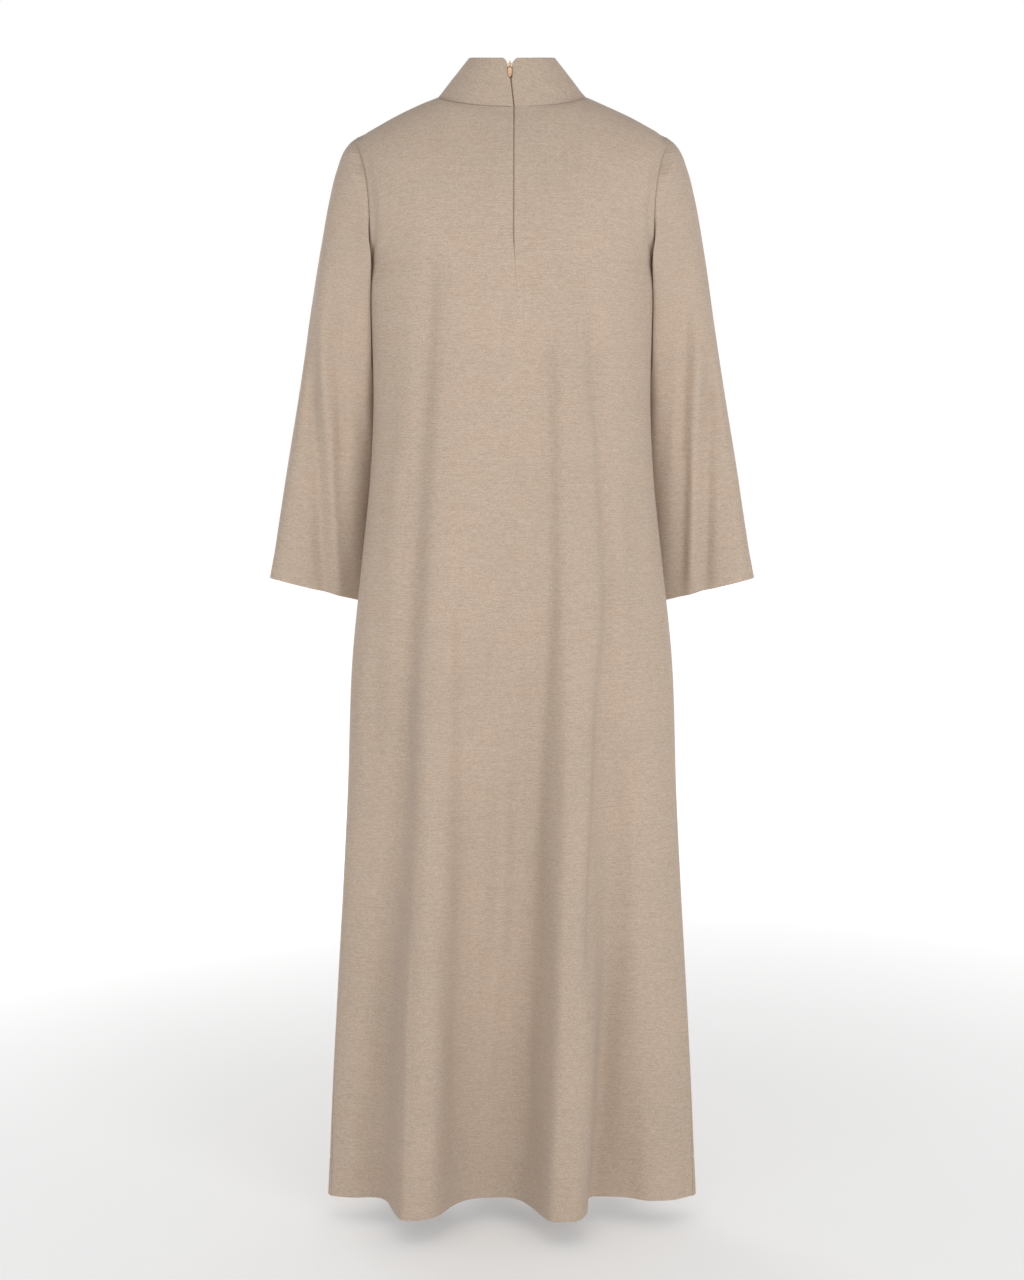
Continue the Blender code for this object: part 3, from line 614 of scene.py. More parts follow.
class Nodes:
    """The nodes of a material or a world, and the one method that adds to them."""

    def __init__(self, tree):
        self.tree = tree

    def link(self, value, socket):
        """Feed a socket from a value."""
        self.tree.links.new(value.socket, socket)

    def node(self, kind, settings, sockets, output=0):
        """Add a node: its settings, then its sockets' values or links. Returns one output."""
        made = self.tree.nodes.new(kind)
        for name, value in settings.items():
            setattr(made, name, value)
        for name, value in sockets.items():
            if isinstance(value, Value):
                self.link(value, made.inputs[name])
            else:
                made.inputs[name].default_value = value
        return Value(self, made.outputs[output])

    def mix(self, factor, first, second, blend="MIX"):
        """Mix two colours."""
        settings = {"data_type": "RGBA", "blend_type": blend}
        return self.node("ShaderNodeMix", settings, {0: factor, 6: first, 7: second}, output=2)

    def wave(self, value):
        """Sine of a value."""
        return self.node("ShaderNodeMath", {"operation": "SINE"}, {0: value})

    def limited(self, value, low, high):
        """Bring low to high down to 0 to 1, along a soft S."""
        settings = {"interpolation_type": "SMOOTHSTEP"}
        return self.node("ShaderNodeMapRange", settings, {"Value": value, "From Min": low, "From Max": high})

    def noise(self, place, detail=2.0):
        """Noise between 0 and 1 at a place."""
        return self.node("ShaderNodeTexNoise", {}, {"Vector": place, "Scale": 1.0, "Detail": detail})

    def place(self, across, up, depth=0.0):
        """Vector from two or three values."""
        return self.node("ShaderNodeCombineXYZ", {}, {"X": across, "Y": up, "Z": depth})

    def bump(self, height, strength, distance):
        """Normal from a height."""
        return self.node("ShaderNodeBump", {}, {"Strength": strength, "Distance": distance, "Height": height})


class Finish(Nodes):
    """A material made of nodes."""

    def __init__(self, name):
        self.material = bpy.data.materials.new(name)
        self.material.use_nodes = True
        super().__init__(self.material.node_tree)
        self.shader = self.tree.nodes["Principled BSDF"]

    def weave(self):
        """Places along the weft and up the warp of the cloth, in metres."""
        place = self.node("ShaderNodeUVMap", {"uv_map": "weave"}, {})
        along = self.node("ShaderNodeSeparateXYZ", {}, {"Vector": place})
        return along, Value(self, along.socket.node.outputs[1])

    def grains(self, size):
        """Places on the object, counted in grains of a size in metres."""
        place = self.node("ShaderNodeTexCoord", {}, {}, output=3)
        return self.node("ShaderNodeVectorMath", {"operation": "SCALE"}, {0: place, "Scale": 1.0 / size})

    def plain(self, **values):
        """Set sockets of the shader that are the same all over."""
        for name, value in values.items():
            self.shader.inputs[name.replace("_", " ")].default_value = value

    def feed(self, **values):
        """Link values to the shader's sockets."""
        for name, value in values.items():
            self.link(value, self.shader.inputs[name.replace("_", " ")])


# %% [markdown]
# ## The cloth's finish
#
# The cloth is a dry, matt plain weave in warm sand. Its yarns are spun from fibres of several
# shades and are thicker in places, so it has short horizontal streaks, called slubs, and a faint
# mottle of pink and grey green. All of it follows the weave's own coordinates, in metres along
# the weft and up the warp, so that the slubs bend with every fold. Bump carries the yarns and
# the slubs, and a little sheen gives the soft edge that fibres have.

# %% Woven cloth
THREAD = 0.00062
YARN_COLUMNS = ("along", "up", "shift", "detail", "light", "bump")
YARN_ROWS = {
    "grain": (0.0011, 0.0011, 5.3, 2.0, 0.56, 0.6),
    "slub": (0.0085, 0.00115, 0.0, 2.0, 0.29, 0.9),
    "streak": (0.030, 0.0013, 3.7, 1.0, 0.15, 0.5),
    "mottle": (0.045, 0.034, 8.1, 3.0, 0.0, 0.0),
    "patch": (0.17, 0.17, 1.3, 2.0, 0.0, 0.0),
}
YARNS = {name: dict(zip(YARN_COLUMNS, row)) for name, row in YARN_ROWS.items()}
LIGHT_LIMITS = (0.37, 0.63)
TINT_LIMITS = (0.40, 0.60)
PATCH_LIMITS = (0.2, 0.8)
MOTTLE_SHARE = 0.7
PATCH_SHADE = 0.05
THREAD_SHADE = 0.04
DEEPEST_SHADE = 0.955
THREAD_BUMP = 0.25
WEAVE_CONTRAST = 0.60
TINT_STRENGTH = 0.20
SAND = (0.457, 0.355, 0.273, 1.0)
SAND_LIGHT = (0.583, 0.478, 0.395, 1.0)
SAND_DARK = (0.320, 0.237, 0.170, 1.0)
ROSE = (0.478, 0.352, 0.264, 1.0)
MOSS = (0.438, 0.357, 0.283, 1.0)


def woven_cloth(name):
    """Sand coloured melange in a plain weave, with slubs along the weft."""
    finish = Finish(name)
    along, up = finish.weave()
    noises = {}
    for name, yarn in YARNS.items():
        place = finish.place(along / yarn["along"], up / yarn["up"], yarn["shift"])
        noises[name] = finish.noise(place, yarn["detail"])
    turn = 2.0 * math.pi / THREAD
    threads = finish.wave(along * turn) * finish.wave(up * turn)
    light, height = (sum(noises[name] * YARNS[name][share] for name in ("grain", "slub", "streak"))
                     for share in ("light", "bump"))
    light = finish.limited(light, *LIGHT_LIMITS)
    body = finish.mix(WEAVE_CONTRAST, SAND, finish.mix(light, SAND_DARK, SAND_LIGHT))
    tint = noises["mottle"] * MOTTLE_SHARE + noises["patch"] * (1.0 - MOTTLE_SHARE)
    tinted = finish.mix(TINT_STRENGTH, body, finish.mix(finish.limited(tint, *TINT_LIMITS), MOSS, ROSE))
    patch = finish.limited(noises["patch"], *PATCH_LIMITS)
    shade = patch * PATCH_SHADE + threads * THREAD_SHADE + DEEPEST_SHADE
    grey = finish.node("ShaderNodeCombineColor", {}, {0: shade, 1: shade, 2: shade})
    bump = finish.bump(height + threads * THREAD_BUMP, 0.5, 0.00035)
    colour = finish.mix(1.0, tinted, grey, "MULTIPLY")
    finish.feed(Base_Color=colour, Normal=bump, Roughness=light * -0.08 + 0.92)
    finish.plain(Sheen_Weight=0.12, Sheen_Roughness=0.6, Specular_IOR_Level=0.22)
    return finish.material


cloth = woven_cloth("woven_sand")
print("cloth nodes:", len(cloth.node_tree.nodes))

# %% [markdown]
# ## Back and front
#
# The back is one panel, cut at the middle for the zip down to where a dart closes it. Under the
# dart's point the cloth ripples a little, and from there the two big folds fall. Creases are rows
# of a small table: where each starts and ends, how high it stands and how wide its two sides are.

# %% The opening at the centre back
SLIT_COLUMNS = ("drop", "x", "half_gap", "groove")
SLIT_ROWS = [
    (-37, 2.7, 2.7, 1),
    (-23, 2.3, 2.7, 1),
    (-15, 1.2, 0.7, 1),
    (18, -2.4, 0.55, 1),
    (172, -1.8, 0.55, 1),
    (180, -2.1, 0.4, 1),
    (192, -2.8, 0, 1),
    (236, -5.2, 0, 0.6),
    (262, -5.4, 0, 0),
    (420, 0, 0, 0),
]
SLIT = named(SLIT_COLUMNS, SLIT_ROWS)
SLIT_NEAR = 14.0
SLIT_ROLL = 0.75
SLIT_BIAS = 1.0 / 0.85


def near_slit(share):
    """How strongly a column follows the opening: 1 at the middle, 0 from the neck point on."""
    place = (np.arcsin(np.clip(np.abs(share), 0.0, 1.0)) / NECK_ANGLE) ** SLIT_BIAS
    return np.maximum(0.0, 1.0 - place) ** 2


def follow_slit(grid):
    """Move the columns near the middle sideways, so that the middle one runs along the opening."""
    half = np.where(grid[..., 2] > -UNDERARM_DROP, SHOULDER_HALF, np.abs(grid[:, -1:, 0]))
    moved = grid.copy()
    moved[..., 0] += straight(SLIT, "x", -grid[..., 2]) * near_slit(grid[..., 0] / half)
    return moved


base["back"] = follow_slit(base["back"])
print("opening's x at the neckline:", round(float(base["back"][0, MIDDLE, 0]), 2))

# %% Creases of the panels
CREASES = {
    "back": [
        (12, 246, 15, 345, -1.5, 7, 7, 30),
        (1, 250, 1, 330, 1, 6, 6, 26),
        (-13, 252, -15, 372, -1.1, 6, 7, 30),
        (-41, 268, -40, 470, -2.2, 12, 12, 60),
        (-26, 262, -24, 420, 0.9, 7, 9, 50),
        (31, 262, 36, 420, -0.9, 9, 8, 50),
        (96, 150, 108, 420, -1.8, 9, 12, 70),
        (-92, 160, -104, 420, -1.6, 12, 9, 70),
        (60, 500, 52, 800, -1.6, 12, 16, 90),
        (20, 640, 14, 980, 1.8, 14, 12, 110),
        (-14, 700, -6, 1010, -1.6, 10, 12, 90),
        (150, 300, 160, 560, -1.8, 10, 14, 80),
        (168, 620, 182, 1040, -2.2, 14, 12, 120),
        (-150, 420, -160, 760, -1.9, 12, 14, 90),
        (-135, 760, -140, 1200, -2.4, 12, 12, 120),
        (196, 1040, 204, 1380, 1.8, 12, 10, 90),
    ],
    "front": [
        (70, 140, 84, 520, -2, 14, 16, 90),
        (-74, 160, -92, 480, -2.2, 16, 13, 90),
        (24, 330, 30, 640, -1.7, 12, 12, 80),
        (-30, 380, -24, 720, -1.8, 12, 15, 90),
        (-120, 300, -128, 560, -2, 12, 12, 80),
        (124, 320, 138, 620, -2.1, 14, 12, 90),
        (60, 700, 64, 1080, 1.9, 14, 12, 120),
        (-58, 820, -50, 1180, -1.9, 12, 14, 120),
        (168, 700, 184, 1120, -2.3, 14, 12, 120),
        (-172, 640, -186, 1060, -2.1, 12, 14, 120),
        (-200, 1060, -208, 1390, 1.7, 10, 12, 90),
    ],
}
LONG_FOLDS = {
    "back": [
        (-2.8, 11, 12, 90, ((95, 190), (107, 311), (114, 432), (123, 555), (130, 677), (131, 800),
                                  (129, 1118), (134, 1247), (140, 1420))),
        (2, 11, 11, 110, ((84, 300), (98, 555), (107, 739), (103, 990), (97, 1250), (104, 1420))),
        (-2, 10, 10, 120, ((62, 560), (64, 739), (62, 927), (68, 1118), (74, 1247), (74, 1420))),
        (2, 14, 12, 100, ((-10, 440), (-4, 615), (5, 739), (11, 864), (15, 990), (21, 1118))),
        (7, 18, 18, 260, ((8, 760), (15, 990), (24, 1118), (36, 1247), (34, 1440))),
        (-2.8, 9, 10, 110, ((-42, 232), (-44, 432), (-46, 615), (-38, 739), (-30, 927), (-20, 1182),
                                  (-14, 1400))),
        (2.2, 12, 12, 110, ((-66, 210), (-68, 371), (-69, 615), (-73, 739), (-74, 864), (-70, 1000))),
        (-5, 8.5, 9.5, 110, ((-97, 230), (-105, 371), (-114, 494), (-120, 615), (-114, 739), (-111, 864),
                                 (-104, 990), (-98, 1160))),
        (-4.4, 13, 15, 160, ((-112, 640), (-112, 864), (-105, 990), (-98, 1140))),
        (3.4, 20, 20, 240, ((-140, 780), (-142, 1000), (-142, 1440))),
        (3.2, 18, 20, 240, ((168, 780), (174, 1000), (176, 1440))),
        (-1.6, 13, 13, 120, ((158, 930), (168, 1340))),
        (1.8, 12, 12, 110, ((140, 380), (150, 640), (160, 900))),
    ],
    "front": [],
}
SEED = {"back": 11, "front": 23}
UNEVEN_HEIGHT = 0.42
UNEVEN_NARROW = 46.0
UNEVEN_LONG = 240.0
EDGE_FADE = 26.0
HEM_LINE_DEPTH = 0.45
HEM_LINE_WIDTH = 1.7
NECKLINE_FADE = 6.0
FOLD_DEPTH = 1.25
SIDE_FULL = 3.2
SIDE_FADE = 30.0
SIDE_FULL_END = 960.0
SIDE_FULL_FADE = 300.0
SIDE_ROUND = 17.0
SIDE_WIDE = 78.0
TIP_DROP = 78.0
TIP_LIFT = 0.7
TIP_PLACE = 4.0
TIP_WIDE = 7.0
TIP_FADE = 20.0
ARMHOLE_END = UNDERARM_DROP + 20.0
ARMHOLE_END_FADE = 40.0
ARMHOLE_TOP_FADE = 30.0
ARMHOLE_RIDGE = 1.1
ARMHOLE_RIDGE_PLACE = 6.0
ARMHOLE_RIDGE_WIDTH = 4.2
ARMHOLE_HOLLOW = -1.7
ARMHOLE_HOLLOW_PLACE = 16.0
ARMHOLE_HOLLOW_WIDTH = 6.5


def panel_measures(grid):
    """Distances over the cloth: from the middle, from the side edge and from the top edge."""
    sums = walked(grid, 1)
    return sums - sums[:, MIDDLE:MIDDLE + 1], to_ends(sums), walked(grid)


def weave_up(grid):
    """Height of each point in the flat panel: Z below the underarm, and over the shoulder as laid flat."""
    flat = grid[..., 2].copy()
    for row in range(YOKE_ROWS - 2, -1, -1):
        step = grid[row] - grid[row + 1]
        flat[row] = flat[row + 1] + np.hypot(step[:, 1], step[:, 2])
    return flat


def panel_heights(face, grid):
    """Creases, unevenness, seam rolls and the hem's line of a body panel."""
    across, side, top = panel_measures(grid)
    drop = -grid[..., 2]
    calm = eased(side / EDGE_FADE) * eased(top / EDGE_FADE)
    height = crease_heights(CREASES[face], grid[..., 0], drop) * calm
    height += FOLD_DEPTH * long_folds(LONG_FOLDS[face], grid[..., 0], drop) * eased(side / EDGE_FADE)
    height += unevenness(across, drop, SEED[face], UNEVEN_HEIGHT, UNEVEN_NARROW, UNEVEN_LONG) * calm
    beside = eased((ARMHOLE_END - drop) / ARMHOLE_END_FADE) * eased(top / ARMHOLE_TOP_FADE)
    height += ARMHOLE_RIDGE * beside * bell(side - ARMHOLE_RIDGE_PLACE, ARMHOLE_RIDGE_WIDTH)
    height += ARMHOLE_HOLLOW * beside * bell(side - ARMHOLE_HOLLOW_PLACE, ARMHOLE_HOLLOW_WIDTH)
    height += TIP_LIFT * eased((TIP_DROP - drop) / TIP_FADE) * bell(side - TIP_PLACE, TIP_WIDE)
    height -= HEM_LINE_DEPTH * bell(drop - HEM_DROP + HEM_DEPTH, HEM_LINE_WIDTH)
    roll = np.where(drop < UNDERARM_DROP, armhole_roll(drop), ROLL)
    neckline = eased((NECK_HALF - np.abs(grid[..., 0])) / NECKLINE_FADE + 0.5)
    faint = np.where(grid[..., 0] < 0.0, neckline, 0.0)
    height += np.minimum(rolled(side, roll), (1.0 - faint) * rolled(top, ROLL))
    if face == "back":
        full = eased((drop - UNDERARM_DROP) / SIDE_FADE) * eased((SIDE_FULL_END - drop) / SIDE_FULL_FADE)
        full *= eased(side / SIDE_ROUND) * eased((SIDE_WIDE - side) / (SIDE_WIDE - SIDE_ROUND))
        slit = np.abs(across) - straight(SLIT, "half_gap", drop)
        height += SIDE_FULL * full
        height += straight(SLIT, "groove", drop) * rolled(np.maximum(slit, 0.0), SLIT_ROLL)
    return height


# %% Make the back and the front
def pulled_in(grid):
    """Move the outermost columns in by half of the seam's gap."""
    moved = grid.copy()
    for edge, beside, past in ((0, 1, PAST_EDGE - 1), (-1, -2, -PAST_EDGE)):
        inward = grid[:, past] - grid[:, edge]
        inward = inward / length_of(inward)[:, None]
        for column in (edge, beside):
            moved[:, column] += SEAM_HALF_GAP * inward
    return moved


def make_panel(face):
    """Back or front as one sheet with its hem turned up inside."""
    flat = base[face]
    side = FACE[face]["side"]
    across = panel_measures(flat)[0]
    grid = pulled_in(flat + panel_heights(face, flat)[..., None] * normals_of(flat) * side)
    facing = normals_of(grid) * side
    source = np.nonzero(grid[:, MIDDLE, 2] <= HEM_DEPTH - HEM_DROP)[0][::-1]
    turned = len(TURN_ANGLES)
    past_fold = -2.0 * HEM_DROP - turned - grid[source, MIDDLE, 2]
    hem_up = np.concatenate([-HEM_DROP - np.arange(turned), past_fold])
    hem_weave = np.stack(np.broadcast_arrays(across[-1], hem_up[:, None]), axis=-1)
    whole = np.concatenate([grid, turned_up(grid, facing, source)])
    places = np.concatenate([np.stack([across, weave_up(flat)], axis=-1), hem_weave])
    sheet = Sheet()
    if face == "front":
        sheet.join(sheet.add_rows(whole, places), False)
    else:
        join_back(sheet, whole, places, facing)
    return cloth_object(face + "_cloth", sheet, cloth)


def join_back(sheet, whole, places, facing):
    """Add the back's two halves: apart along the opening and one below it."""
    gap = straight(SLIT, "half_gap", -whole[:, MIDDLE, 2])
    gap[len(facing):] = 0.0
    halves = []
    for way, columns in ((-1.0, slice(0, MIDDLE + 1)), (1.0, slice(MIDDLE, None))):
        part = whole[:, columns].copy()
        distance = np.abs(places[:, columns, 0])
        near = np.maximum(0.0, 1.0 - distance / SLIT_NEAR) ** 2
        part[..., 0] += way * gap[:, None] * near
        halves.append(sheet.add_rows(part, places[:, columns]))
    closed = gap <= 0.0
    halves[1][closed, 0] = halves[0][closed, -1]
    for numbers in halves:
        sheet.join(numbers, True)


back = make_panel("back")
front = make_panel("front")

# %% [markdown]
# ## Sleeves
#
# Each sleeve is a tube that starts at the armhole and hangs down and a little forwards. Its
# sections come from two lines, one over the arm and one under it, and from half a depth behind and
# in front. The seam runs under the arm, so the grid starts and ends there.

# %% Sleeve sections
SLEEVE_COLUMNS = ("share", "outer_x", "outer_y", "outer_drop", "inner_x", "inner_y", "inner_drop",
                  "back_half", "front_half")
SLEEVE_ROWS = [
    (0.00, 192, 0, 49.5, 177.3, 0, 204, 58, 52),
    (0.03, 205.5, -0.5, 61.5, 178.2, -3, 216, 57, 52),
    (0.08, 217.5, -1, 88.5, 176.6, -9, 236, 54, 51),
    (0.14, 226.5, -2, 122, 175.4, -14, 262, 51, 49),
    (0.25, 238.5, -5, 185, 172.6, -20.5, 311, 47, 46),
    (0.36, 249, -8, 247, 171.2, -28.5, 358, 44, 43),
    (0.47, 259.5, -12, 310, 170.6, -36.5, 405, 42, 41),
    (0.58, 270.3, -17, 372, 170.6, -45.5, 453, 40, 39),
    (0.69, 281.4, -21, 434, 171, -54.5, 500, 38, 37),
    (0.80, 292.3, -25, 498, 171.6, -63.5, 548, 37, 36),
    (0.91, 303.2, -28.5, 561, 172.4, -72, 596, 36, 35),
    (1.00, 310.6, -31, 597, 173, -80, 636, 35, 34),
]
SLEEVE = named(SLEEVE_COLUMNS, SLEEVE_ROWS)
SLEEVE_TILT = 0.07
SQUARE_FROM = 0.03
SQUARE_BACK = 1.7
SQUARE_FRONT = 0.3
SQUARE_OUTER = 0.5
SLEEVE_LEAN = 5.0
LEAN_END = 0.42
LEAN_FADE = 0.22
LEAN_FROM = math.radians(95.0)
LEAN_RISE = math.radians(35.0)
ARMHOLE_FADE = 0.3
SLEEVE_FOLD_GROWTH = 0.7
SLEEVE_FOLD_COLUMNS = ("angle", "depth", "width", "start")
SLEEVE_FOLDS = [dict(zip(SLEEVE_FOLD_COLUMNS, row)) for row in (
    (232, -7, 16, 0.30),
    (264, 6, 17, 0.25),
)]
SLEEVE_GRID_COLUMNS = 132
SLEEVE_GRID_ROWS = 104
SLEEVE_LEVELS = 220
SLEEVE_LEVEL_BIAS = 1.3
SEAM_GAP = 0.3


def sleeve_parts(angle, share, side):
    """Centre line and reach of one ring of a sleeve, at angles from its top towards its back."""
    values = {name: smooth(SLEEVE, name, share, "share") for name in SLEEVE_COLUMNS[1:]}
    outer = np.array([side * values["outer_x"], values["outer_y"], -values["outer_drop"]])
    inner = np.array([side * values["inner_x"], values["inner_y"], -values["inner_drop"]])
    half = np.where(np.sin(angle) >= 0.0, values["back_half"], values["front_half"])
    across = np.cos(angle)[:, None] * 0.5 * (outer - inner)
    across = across + (np.sin(angle) * half)[:, None] * np.array([0.0, 1.0, SLEEVE_TILT * share])
    grown = eased(share / SQUARE_FROM)
    inner_square = np.where(np.sin(angle) >= 0.0, SQUARE_BACK, SQUARE_FRONT)
    square = np.where(np.cos(angle) >= 0.0, SQUARE_OUTER, inner_square)
    power = 2.0 + grown * square
    round_sum = np.abs(np.cos(angle)) ** power + np.abs(np.sin(angle)) ** power
    across = across * (round_sum ** (-1.0 / power))[:, None]
    lean = SLEEVE_LEAN * grown * eased((LEAN_END - share) / LEAN_FADE)
    at_back = eased((angle - LEAN_FROM) / LEAN_RISE) * eased((math.pi - angle) / LEAN_RISE)
    across[:, 0] -= side * lean * at_back
    return 0.5 * (outer + inner), across


def sleeve_fold(angle, share):
    """How far the folds stand out from the sleeve at angles in radians."""
    height = np.zeros_like(angle)
    for fold in SLEEVE_FOLDS:
        grown = np.clip((share - fold["start"]) / (1.0 - fold["start"]), 0.0, 1.0)
        reach = (np.degrees(angle) - fold["angle"]) / fold["width"]
        height += fold["depth"] * grown ** SLEEVE_FOLD_GROWTH * np.exp(-reach * reach)
    return height


def sleeve_points(turns, share, side):
    """Points of one ring of a sleeve."""
    angle = np.mod(turns, 2.0 * math.pi)
    centre, across = sleeve_parts(angle, share, side)
    points = centre + across * (1.0 + sleeve_fold(angle, share) / length_of(across))[:, None]
    first_centre, first_across = sleeve_parts(angle, 0.0, side)
    up = np.abs(1.0 - angle / math.pi)
    behind = (angle <= math.pi)[:, None]
    ends = side * np.ones_like(up)
    armhole = np.where(behind, yoke_points("back", ends, up), yoke_points("front", ends, up))
    fade = max(0.0, 1.0 - share / ARMHOLE_FADE) ** 2
    return points + (armhole - first_centre - first_across) * fade + np.array([side * SEAM_GAP, 0.0, 0.0])


def sleeve_grid(side):
    """Rings of a sleeve from the armhole to the cuff, and each point's angle from the top."""
    turns = np.linspace(math.pi, 3.0 * math.pi, 2 * DENSE)
    levels = []
    angles = []
    for share in np.linspace(0.0, 1.0, SLEEVE_LEVELS) ** SLEEVE_LEVEL_BIAS:
        sums = effort(sleeve_points(turns, share, side))
        chosen = np.interp(np.linspace(0.0, sums[-1], SLEEVE_GRID_COLUMNS + 1), sums, turns)
        levels.append(sleeve_points(chosen, share, side))
        angles.append(chosen)
    levels = np.concatenate([np.array(levels), np.array(angles)[..., None]], axis=-1)
    columns = []
    for column in range(SLEEVE_GRID_COLUMNS + 1):
        distance = walked(levels[:, column, :3])
        stops = stations(distance[-1], SLEEVE_GRID_ROWS, True, False)
        columns.append(resampled(levels[:, column], distance, stops))
    grid = np.stack(columns, axis=1)
    return grid[..., :3], grid[..., 3] - 2.0 * math.pi


# %% Creases of the sleeves
# Places are millimetres round the sleeve, 0 over the arm and positive behind it, and down its length
AROUND = 1.2
SLEEVE_CREASES = {
    1.0: [
        (72, 120, 96, 300, -1.6, 9, 9, 60),
        (96, 190, 118, 470, 1.6, 9, 8, 70),
        (60, 200, 76, 480, -1.8, 9, 9, 70),
        (110, 330, 128, 500, -2, 9, 10, 60),
        (130, 60, 150, 300, -1.5, 12, 12, 60),
        (-90, 90, -100, 420, -1.9, 12, 12, 80),
        (-130, 140, -140, 440, 1.4, 10, 12, 80),
        (24, 150, 34, 420, -1.2, 14, 12, 80),
    ],
    -1.0: [
        (66, 140, 84, 330, -1.5, 9, 9, 60),
        (98, 210, 112, 480, 1.5, 8, 9, 70),
        (58, 230, 70, 490, -1.7, 9, 10, 70),
        (114, 300, 132, 495, -1.9, 10, 9, 60),
        (134, 80, 146, 330, -1.5, 12, 12, 70),
        (-84, 110, -96, 400, -1.7, 12, 12, 80),
        (-124, 160, -138, 470, 1.5, 12, 10, 80),
        (20, 180, 28, 450, -1.3, 12, 14, 80),
    ],
}
SLEEVE_FOLDS_BEHIND = {
    1.0: [
        (6.4, 8, 9, 90, ((232, 236), (234, 310), (230, 436), (226, 534), (222, 660))),
        (-7.5, 10, 9, 90, ((252, 270), (250, 372), (246, 440), (242, 534), (238, 660))),
        (-3, 12, 13, 150, ((182, 400), (177, 480), (172, 560), (168, 720))),
        (-3.6, 6, 6, 40, ((219, 232), (217, 310), (216, 372), (214, 460))),
        (1.6, 12, 12, 70, ((206, 330), (204, 430), (203, 620))),
    ],
    -1.0: [
        (6.4, 9, 8, 90, ((230, 240), (231, 310), (230, 436), (229, 534), (230, 660))),
        (-7.5, 9, 10, 90, ((250, 280), (248, 372), (247, 440), (246, 534), (245, 660))),
        (-3, 12, 13, 150, ((184, 410), (178, 480), (172, 560), (168, 720))),
        (-3.2, 7, 6, 50, ((217, 240), (215, 310), (214, 372), (211, 470))),
        (1.6, 12, 12, 70, ((204, 350), (202, 430), (202, 620))),
    ],
}
SLEEVE_SEED = {1.0: 37, -1.0: 41}
SLEEVE_UNEVEN = 0.4
UNEVEN_ROUND = 60.0
UNEVEN_DOWN = 0.2
SLEEVE_CLEAR = 0.8
SIDE_CLEAR = 3.8
SIDE_CLEAR_FROM = 14.0
SHOULDER_LIFT = 1.2
LIFT_PLACE = 7.0
LIFT_WIDE = 9.0
CUFF_DEPTH = 27.0
UNDERARM_SEAM = 0.35
UNDERARM_SEAM_WIDTH = 1.6
SLEEVE_WELD = 0.01


def sleeve_heights(grid, angle, side):
    """Creases, unevenness, seam rolls and the cuff's line of a sleeve."""
    down = walked(grid)
    sums = walked(grid, 1)
    calm = eased(down / EDGE_FADE)
    height = crease_heights(SLEEVE_CREASES[side], np.degrees(angle) * AROUND, down)
    behind = eased(2.0 * np.sin(angle))
    height += long_folds(SLEEVE_FOLDS_BEHIND[side], side * grid[..., 0], -grid[..., 2]) * behind
    height *= calm
    height += SHOULDER_LIFT * eased(2.0 * np.cos(angle) - 1.0) * bell(down - LIFT_PLACE, LIFT_WIDE)
    out = UNEVEN_ROUND * np.cos(angle) + UNEVEN_DOWN * down
    height += unevenness(out, UNEVEN_ROUND * np.sin(angle), SLEEVE_SEED[side], SLEEVE_UNEVEN,
                         UNEVEN_NARROW, UNEVEN_NARROW) * calm
    height -= UNDERARM_SEAM * bell(to_ends(sums), UNDERARM_SEAM_WIDTH)
    height += rolled(down, armhole_roll(-grid[:1, :, 2]))
    height -= HEM_LINE_DEPTH * bell(down[-1:] - down - CUFF_DEPTH, HEM_LINE_WIDTH)
    return height, down, sums


def clear_of_body(points, side):
    """Keep a sleeve's points just outside the body's side."""
    drop = -points[..., 2]
    behind = points[..., 1] > 0.0
    depth = np.where(behind, smooth(BODY, "back", drop), smooth(BODY, "front", drop))
    near = np.minimum(np.abs(points[..., 1]) / depth, 1.0)
    body = smooth(BODY, "half_width", drop) * bow(near, smooth(BODY, "squareness", drop))
    full = np.where(behind, SIDE_CLEAR * eased(points[..., 1] / SIDE_CLEAR_FROM), 0.0)
    moved = points.copy()
    out = np.maximum(side * points[..., 0], body + SLEEVE_CLEAR + full)
    moved[..., 0] = np.where(drop > UNDERARM_DROP, side * out, points[..., 0])
    return moved


# %% Make the sleeves
def closed_normals(grid):
    """Unit normals of a tube's grid whose last column repeats its first."""
    normals = normals_of(grid[:, :-1], True)
    return np.concatenate([normals, normals[:, :1]], axis=1)


